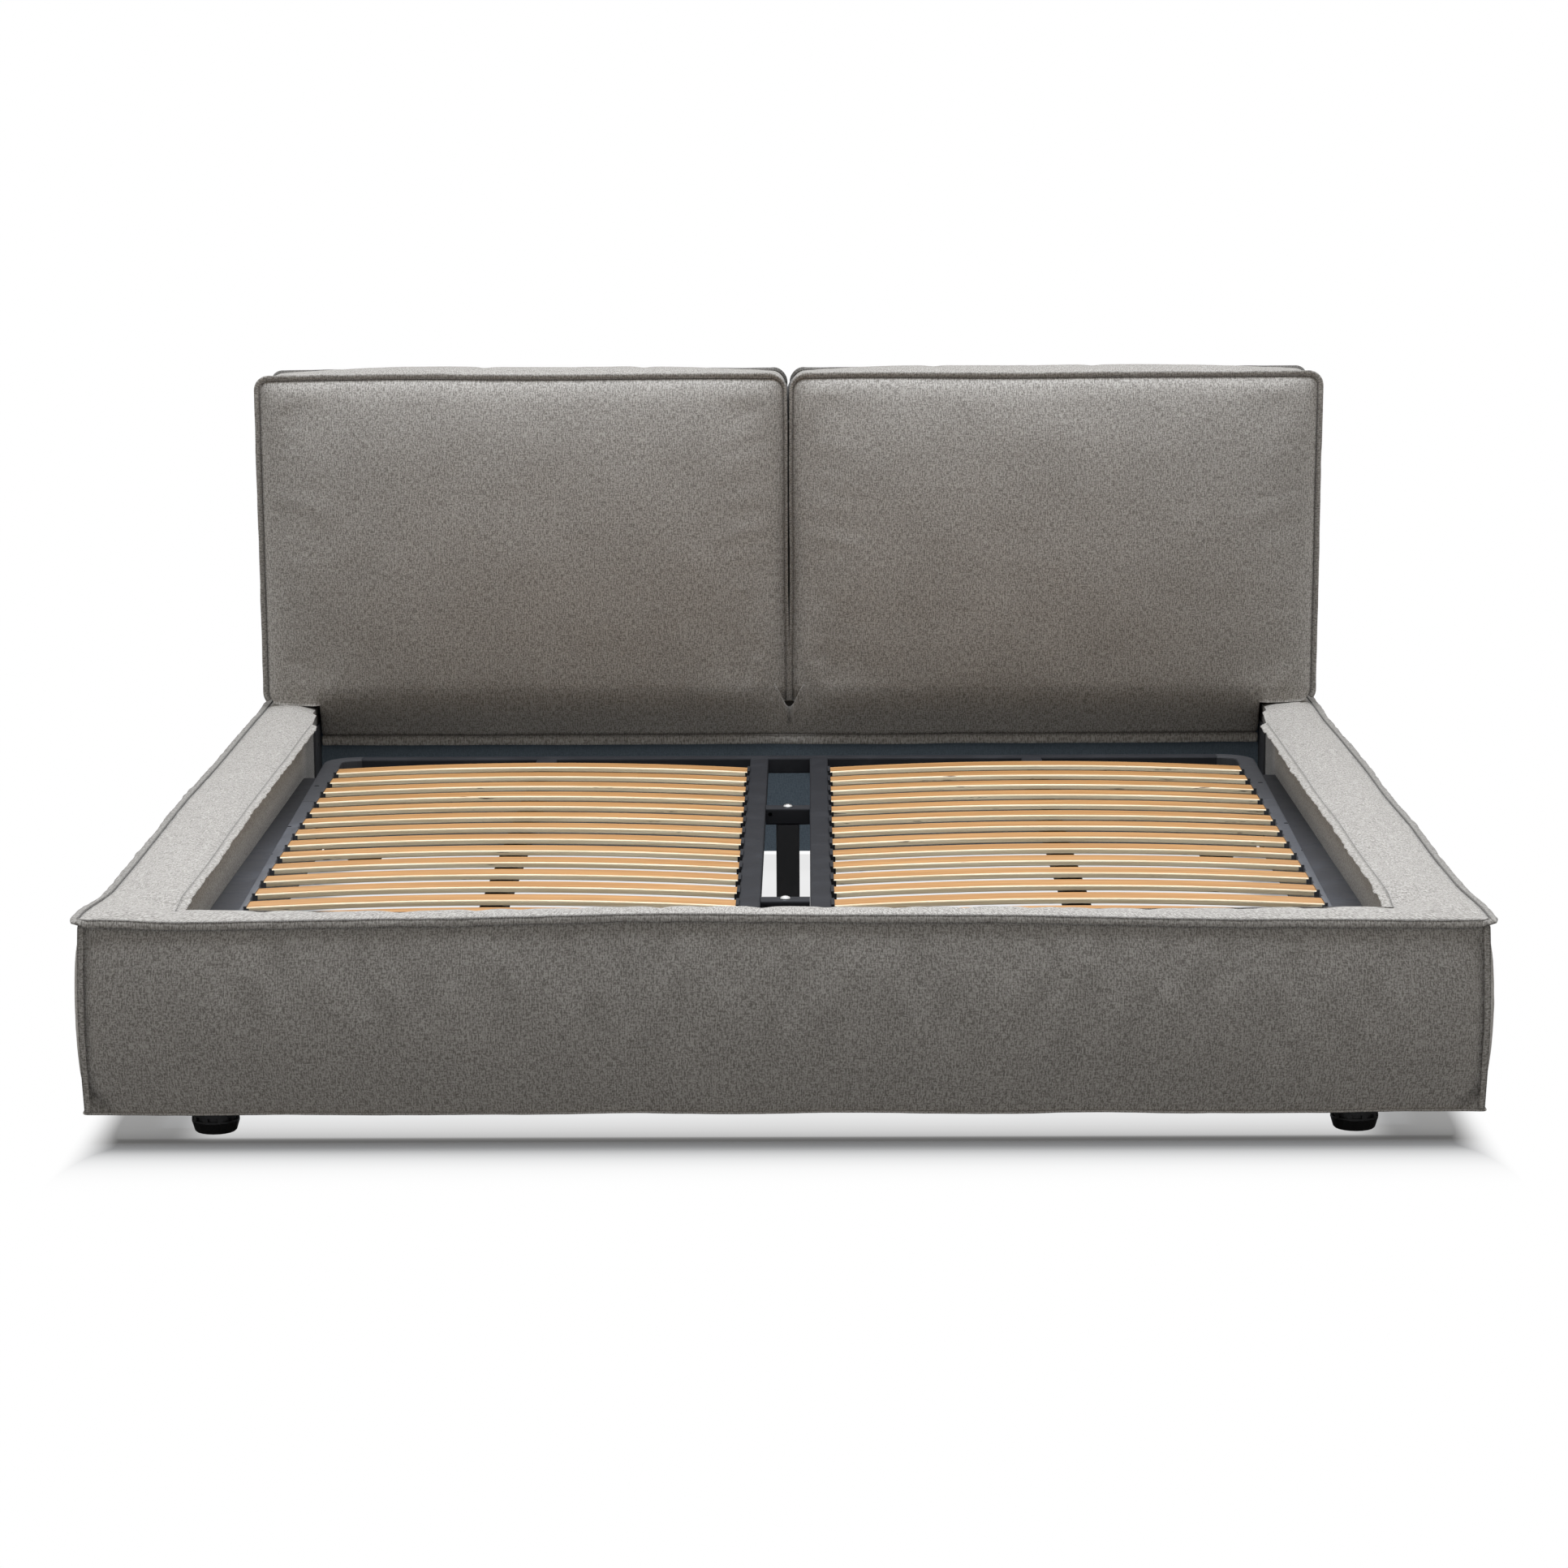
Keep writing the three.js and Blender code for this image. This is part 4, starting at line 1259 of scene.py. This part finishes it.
skirtLow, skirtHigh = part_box("skirt")
skirt = {
    "hemHeight": 0.020,
    "hemThick": 0.0042,
    "thick": 0.0022,
    "cell": 0.012,
    "fineCell": 0.004,          # beside the middle seam
    "tuckTop": 0.056,           # how far it reaches up inside the cushions
    "meets": 0.032,             # where it comes out of them
    "tuckShare": 0.25,          # of the rows
    "clear": 0.0006,            # gap to the cushions where it comes out
    "dent": 0.012,              # middle seam
    "wave": 0.0022,
}
skirtHalf = skirtHigh[0]
hemAt = skirtHigh[1] - 0.004
hemTop = skirtLow[2] + skirt["hemHeight"]
tuckTop = cushionFoot + skirt["tuckTop"]
meets = cushionFoot + skirt["meets"]


def frontOf(piece):
    surface = surfaceOf(piece)

    def at(x, z):
        hit = surface.ray_cast(Vector((x, cushionLow[1] - 0.3, z)), Vector((0, 1, 0)))
        return hit[0].y if hit[0] else frontSeam
    return at


def frontLine():               # the cushions' fronts, joined across the slit
    left, right = frontOf(cushions[-1]), frontOf(cushions[1])
    middle = 0.032

    def at(x, z):
        if abs(x) >= middle:
            return (right if x > 0 else left)(x, z)
        return lerp(left(-middle, z), right(middle, z), ease(x, -middle, middle))
    return at


def hemLine(x):                # depth and height of the seam above the hem
    return Vector((hemAt + skirt["wave"] * wobble(x / 0.16, 0, 3.3),
                   hemTop + 0.0025 * wobble(x / 0.35, 2, 8)))


def skirtDent(x, z):
    deep = ease(z, hemTop + 0.015, cushionFoot + 0.002)
    return skirt["dent"] * (1 + 0.3 * wobble(x / 0.01, z / 0.012, 1)) * deep * dip(x, 0.007)


def skirtSurface(frontAt):
    def at(x, v):
        near = dip(x, 0.024)
        top = lerp(tuckTop, cushionFoot - 0.008, near)
        start = meets if near < 0.05 else min(meets, lerp(meets, top - 0.006, near))
        tuck = v / skirt["tuckShare"]
        if tuck < 1:
            z = lerp(top, start, tuck)
            y = frontAt(x, max(z, meets)) + lerp(0.0020, -skirt["clear"], tuck)
        else:                  # a curve that leaves the cushions along their slope and ends at the hem
            t = (v - skirt["tuckShare"]) / (1 - skirt["tuckShare"])
            slope = (frontAt(x, meets + 0.004) - frontAt(x, meets + 0.034)) / 0.030
            end = hemLine(x)
            first = Vector((frontAt(x, max(start, meets)) - skirt["clear"], start))
            reach = (end - first).length
            leaves = first + Vector((slope, -1)).normalized() * reach * 0.34
            arrives = end + Vector((-0.45, 1)).normalized() * reach * 0.30
            left = 1 - t
            y, z = (first * left ** 3 + leaves * 3 * t * left ** 2
                    + arrives * 3 * t * t * left + end * t ** 3)
        soft = 0.0016 * wobble(x / 0.09, z / 0.05, 6) * ease(v, 0.3, 0.6)
        roll = 0.004 * (1 - ease(skirtHalf - abs(x), 0, 0.012))
        return Vector((x, y + skirtDent(x, z) + soft + roll, z))
    return at


# painted shade: a little over the whole skirt under the cushions, more along the middle seam's dent and
# just above the hem
def skirtShade(co):
    return max(0.22, dip(co.x, 0.006) * ease(co.z, hemTop + 0.012, hemTop + 0.03),
               0.45 * (1 - ease(co.z, hemTop, hemTop + 0.012)))


def makeHem():
    shell = startShell()
    stations = []
    face = Vector((0, -1, -0.08)).normalized()
    for x in spaced(-skirtHalf, skirtHalf, 0.006):
        y, z = hemLine(x)
        across = Vector((0, 0.06 + 0.10 * ripple(x, 0.06, 5.5), -1)).normalized()
        share = 1 + 0.05 * ripple(x, 0.11, 2.1)
        stations.append((Vector((x, y - 0.0006, z + 0.0012)), across, face, share, x))
    addLip(shell, stations, skirt["hemHeight"] + 0.0008, skirt["hemThick"])
    hem = newPiece("skirtHem", shell, "linen_skirt")
    subdivide(hem)
    return hem


def makeSkirt():
    shell = startShell()
    columns = [x for x in spaced(-skirtHalf, skirtHalf, skirt["cell"]) if abs(x) > 0.040]
    columns = sorted(columns + spaced(-0.036, 0.036, skirt["fineCell"]))
    addPatch(shell, columns, spaced(0, 1, 0.075), skirtSurface(frontLine()),
             lambda x, v: (x, lerp(tuckTop, hemTop, v), 0), flip=True)
    piece = closeShell(shell, "skirtCloth", "linen_skirt")
    solid = piece.modifiers.new("cloth", "SOLIDIFY")
    solid.thickness = skirt["thick"]
    solid.offset = -1
    subdivide(piece)
    paintShade(piece, skirtShade)
    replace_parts(piece, "skirt")
    makeHem()


makeSkirt()
print("skirt made")


# slats: one bowed strip each, its edges just broken

slat = {
    "thick": 0.0095,
    "topEdge": 0.0030,          # roundings along the edges
    "footEdge": 0.0014,
    "settled": 0.002,           # flatter than the bow of its box
    "edgeSteps": 4,
    "spans": 14,
}


def slatOutline(wide):         # across the slat, and down from its top
    outline = []
    for quarter in range(4):
        into = (quarter + 0.5) * math.pi / 2
        r = slat["topEdge"] if quarter < 2 else slat["footEdge"]
        for step in range(slat["edgeSteps"] + 1):
            angle = (quarter + step / slat["edgeSteps"]) * math.pi / 2
            out = math.copysign(wide - r, math.cos(into)) + r * math.cos(angle)
            rise = math.copysign(slat["thick"] / 2 - r, math.sin(into)) + r * math.sin(angle)
            outline.append((out, slat["thick"] / 2 - rise))
    return outline


def makeSlat(node):
    low, high = map(Vector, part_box(node))
    middle = (low + high) / 2
    half = (high.x - low.x) / 2
    top = high.z - slat["settled"]
    bow = top - low.z - slat["thick"]
    radius = (half ** 2 + bow ** 2) / (2 * bow)
    sweep = math.asin(half / radius)
    outline = slatOutline((high.y - low.y) / 2)
    shell = startShell()
    rings = []
    for angle in spaced(-sweep, sweep, 2 * sweep / slat["spans"]):
        rings.append([shell.verts.new((middle.x + (radius - down) * math.sin(angle), middle.y + out,
                                       top - radius + (radius - down) * math.cos(angle)))
                      for out, down in outline])
    for ringA, ringB in zip(rings, rings[1:]):
        for k in range(len(outline)):
            shell.faces.new((ringA[k - 1], ringA[k], ringB[k], ringB[k - 1]))
    shell.faces.new(rings[0])
    shell.faces.new(rings[-1][::-1])
    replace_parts(newPiece("strip_" + node, shell, "beech_slat"), node)


for node in sorted(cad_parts):
    if node.startswith("slat_"):
        makeSlat(node)
print("slats made")


# CAD nodes that stay: their finishes and rounded edges in metres

dressing = {
    # one black paint, lighter on the outer rails, angles and brackets as painted light, darker on the
    # inner rails and bars as painted shade
    ("black_frame", 0.0012): ("outer_rail_",),
    ("shaded_frame", 0.0012): ("inner_rail_", "mid_rail_", "head_bar", "foot_bar", "crossbar_"),
    ("black_fittings", 0.001): ("centre_leg_",),
    ("bright_bolt", 0): ("leg_bolt_",),
    ("black_frame", 0): ("support_angle_", "head_bracket_"),
    ("timber_core", 0): ("side_board_", "footboard_core"),
    ("panel_lining", 0.003): ("head_panel",),
    ("black_plastic_foot", 0): ("levelling_foot_",),
}


def dressNode(node, finish, bevel):
    node.data.materials.clear()
    node.data.materials.append(finishes[finish])
    if bevel:
        soften = node.modifiers.new("edges", "BEVEL")
        soften.width = bevel
        soften.segments = 2
        soften.limit_method = "ANGLE"
        soften.angle_limit = math.radians(40)
        soften.harden_normals = False


for name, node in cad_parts.items():
    for (finish, bevel), starts in dressing.items():
        if name.startswith(starts):
            dressNode(node, finish, bevel)
print("frame dressed")
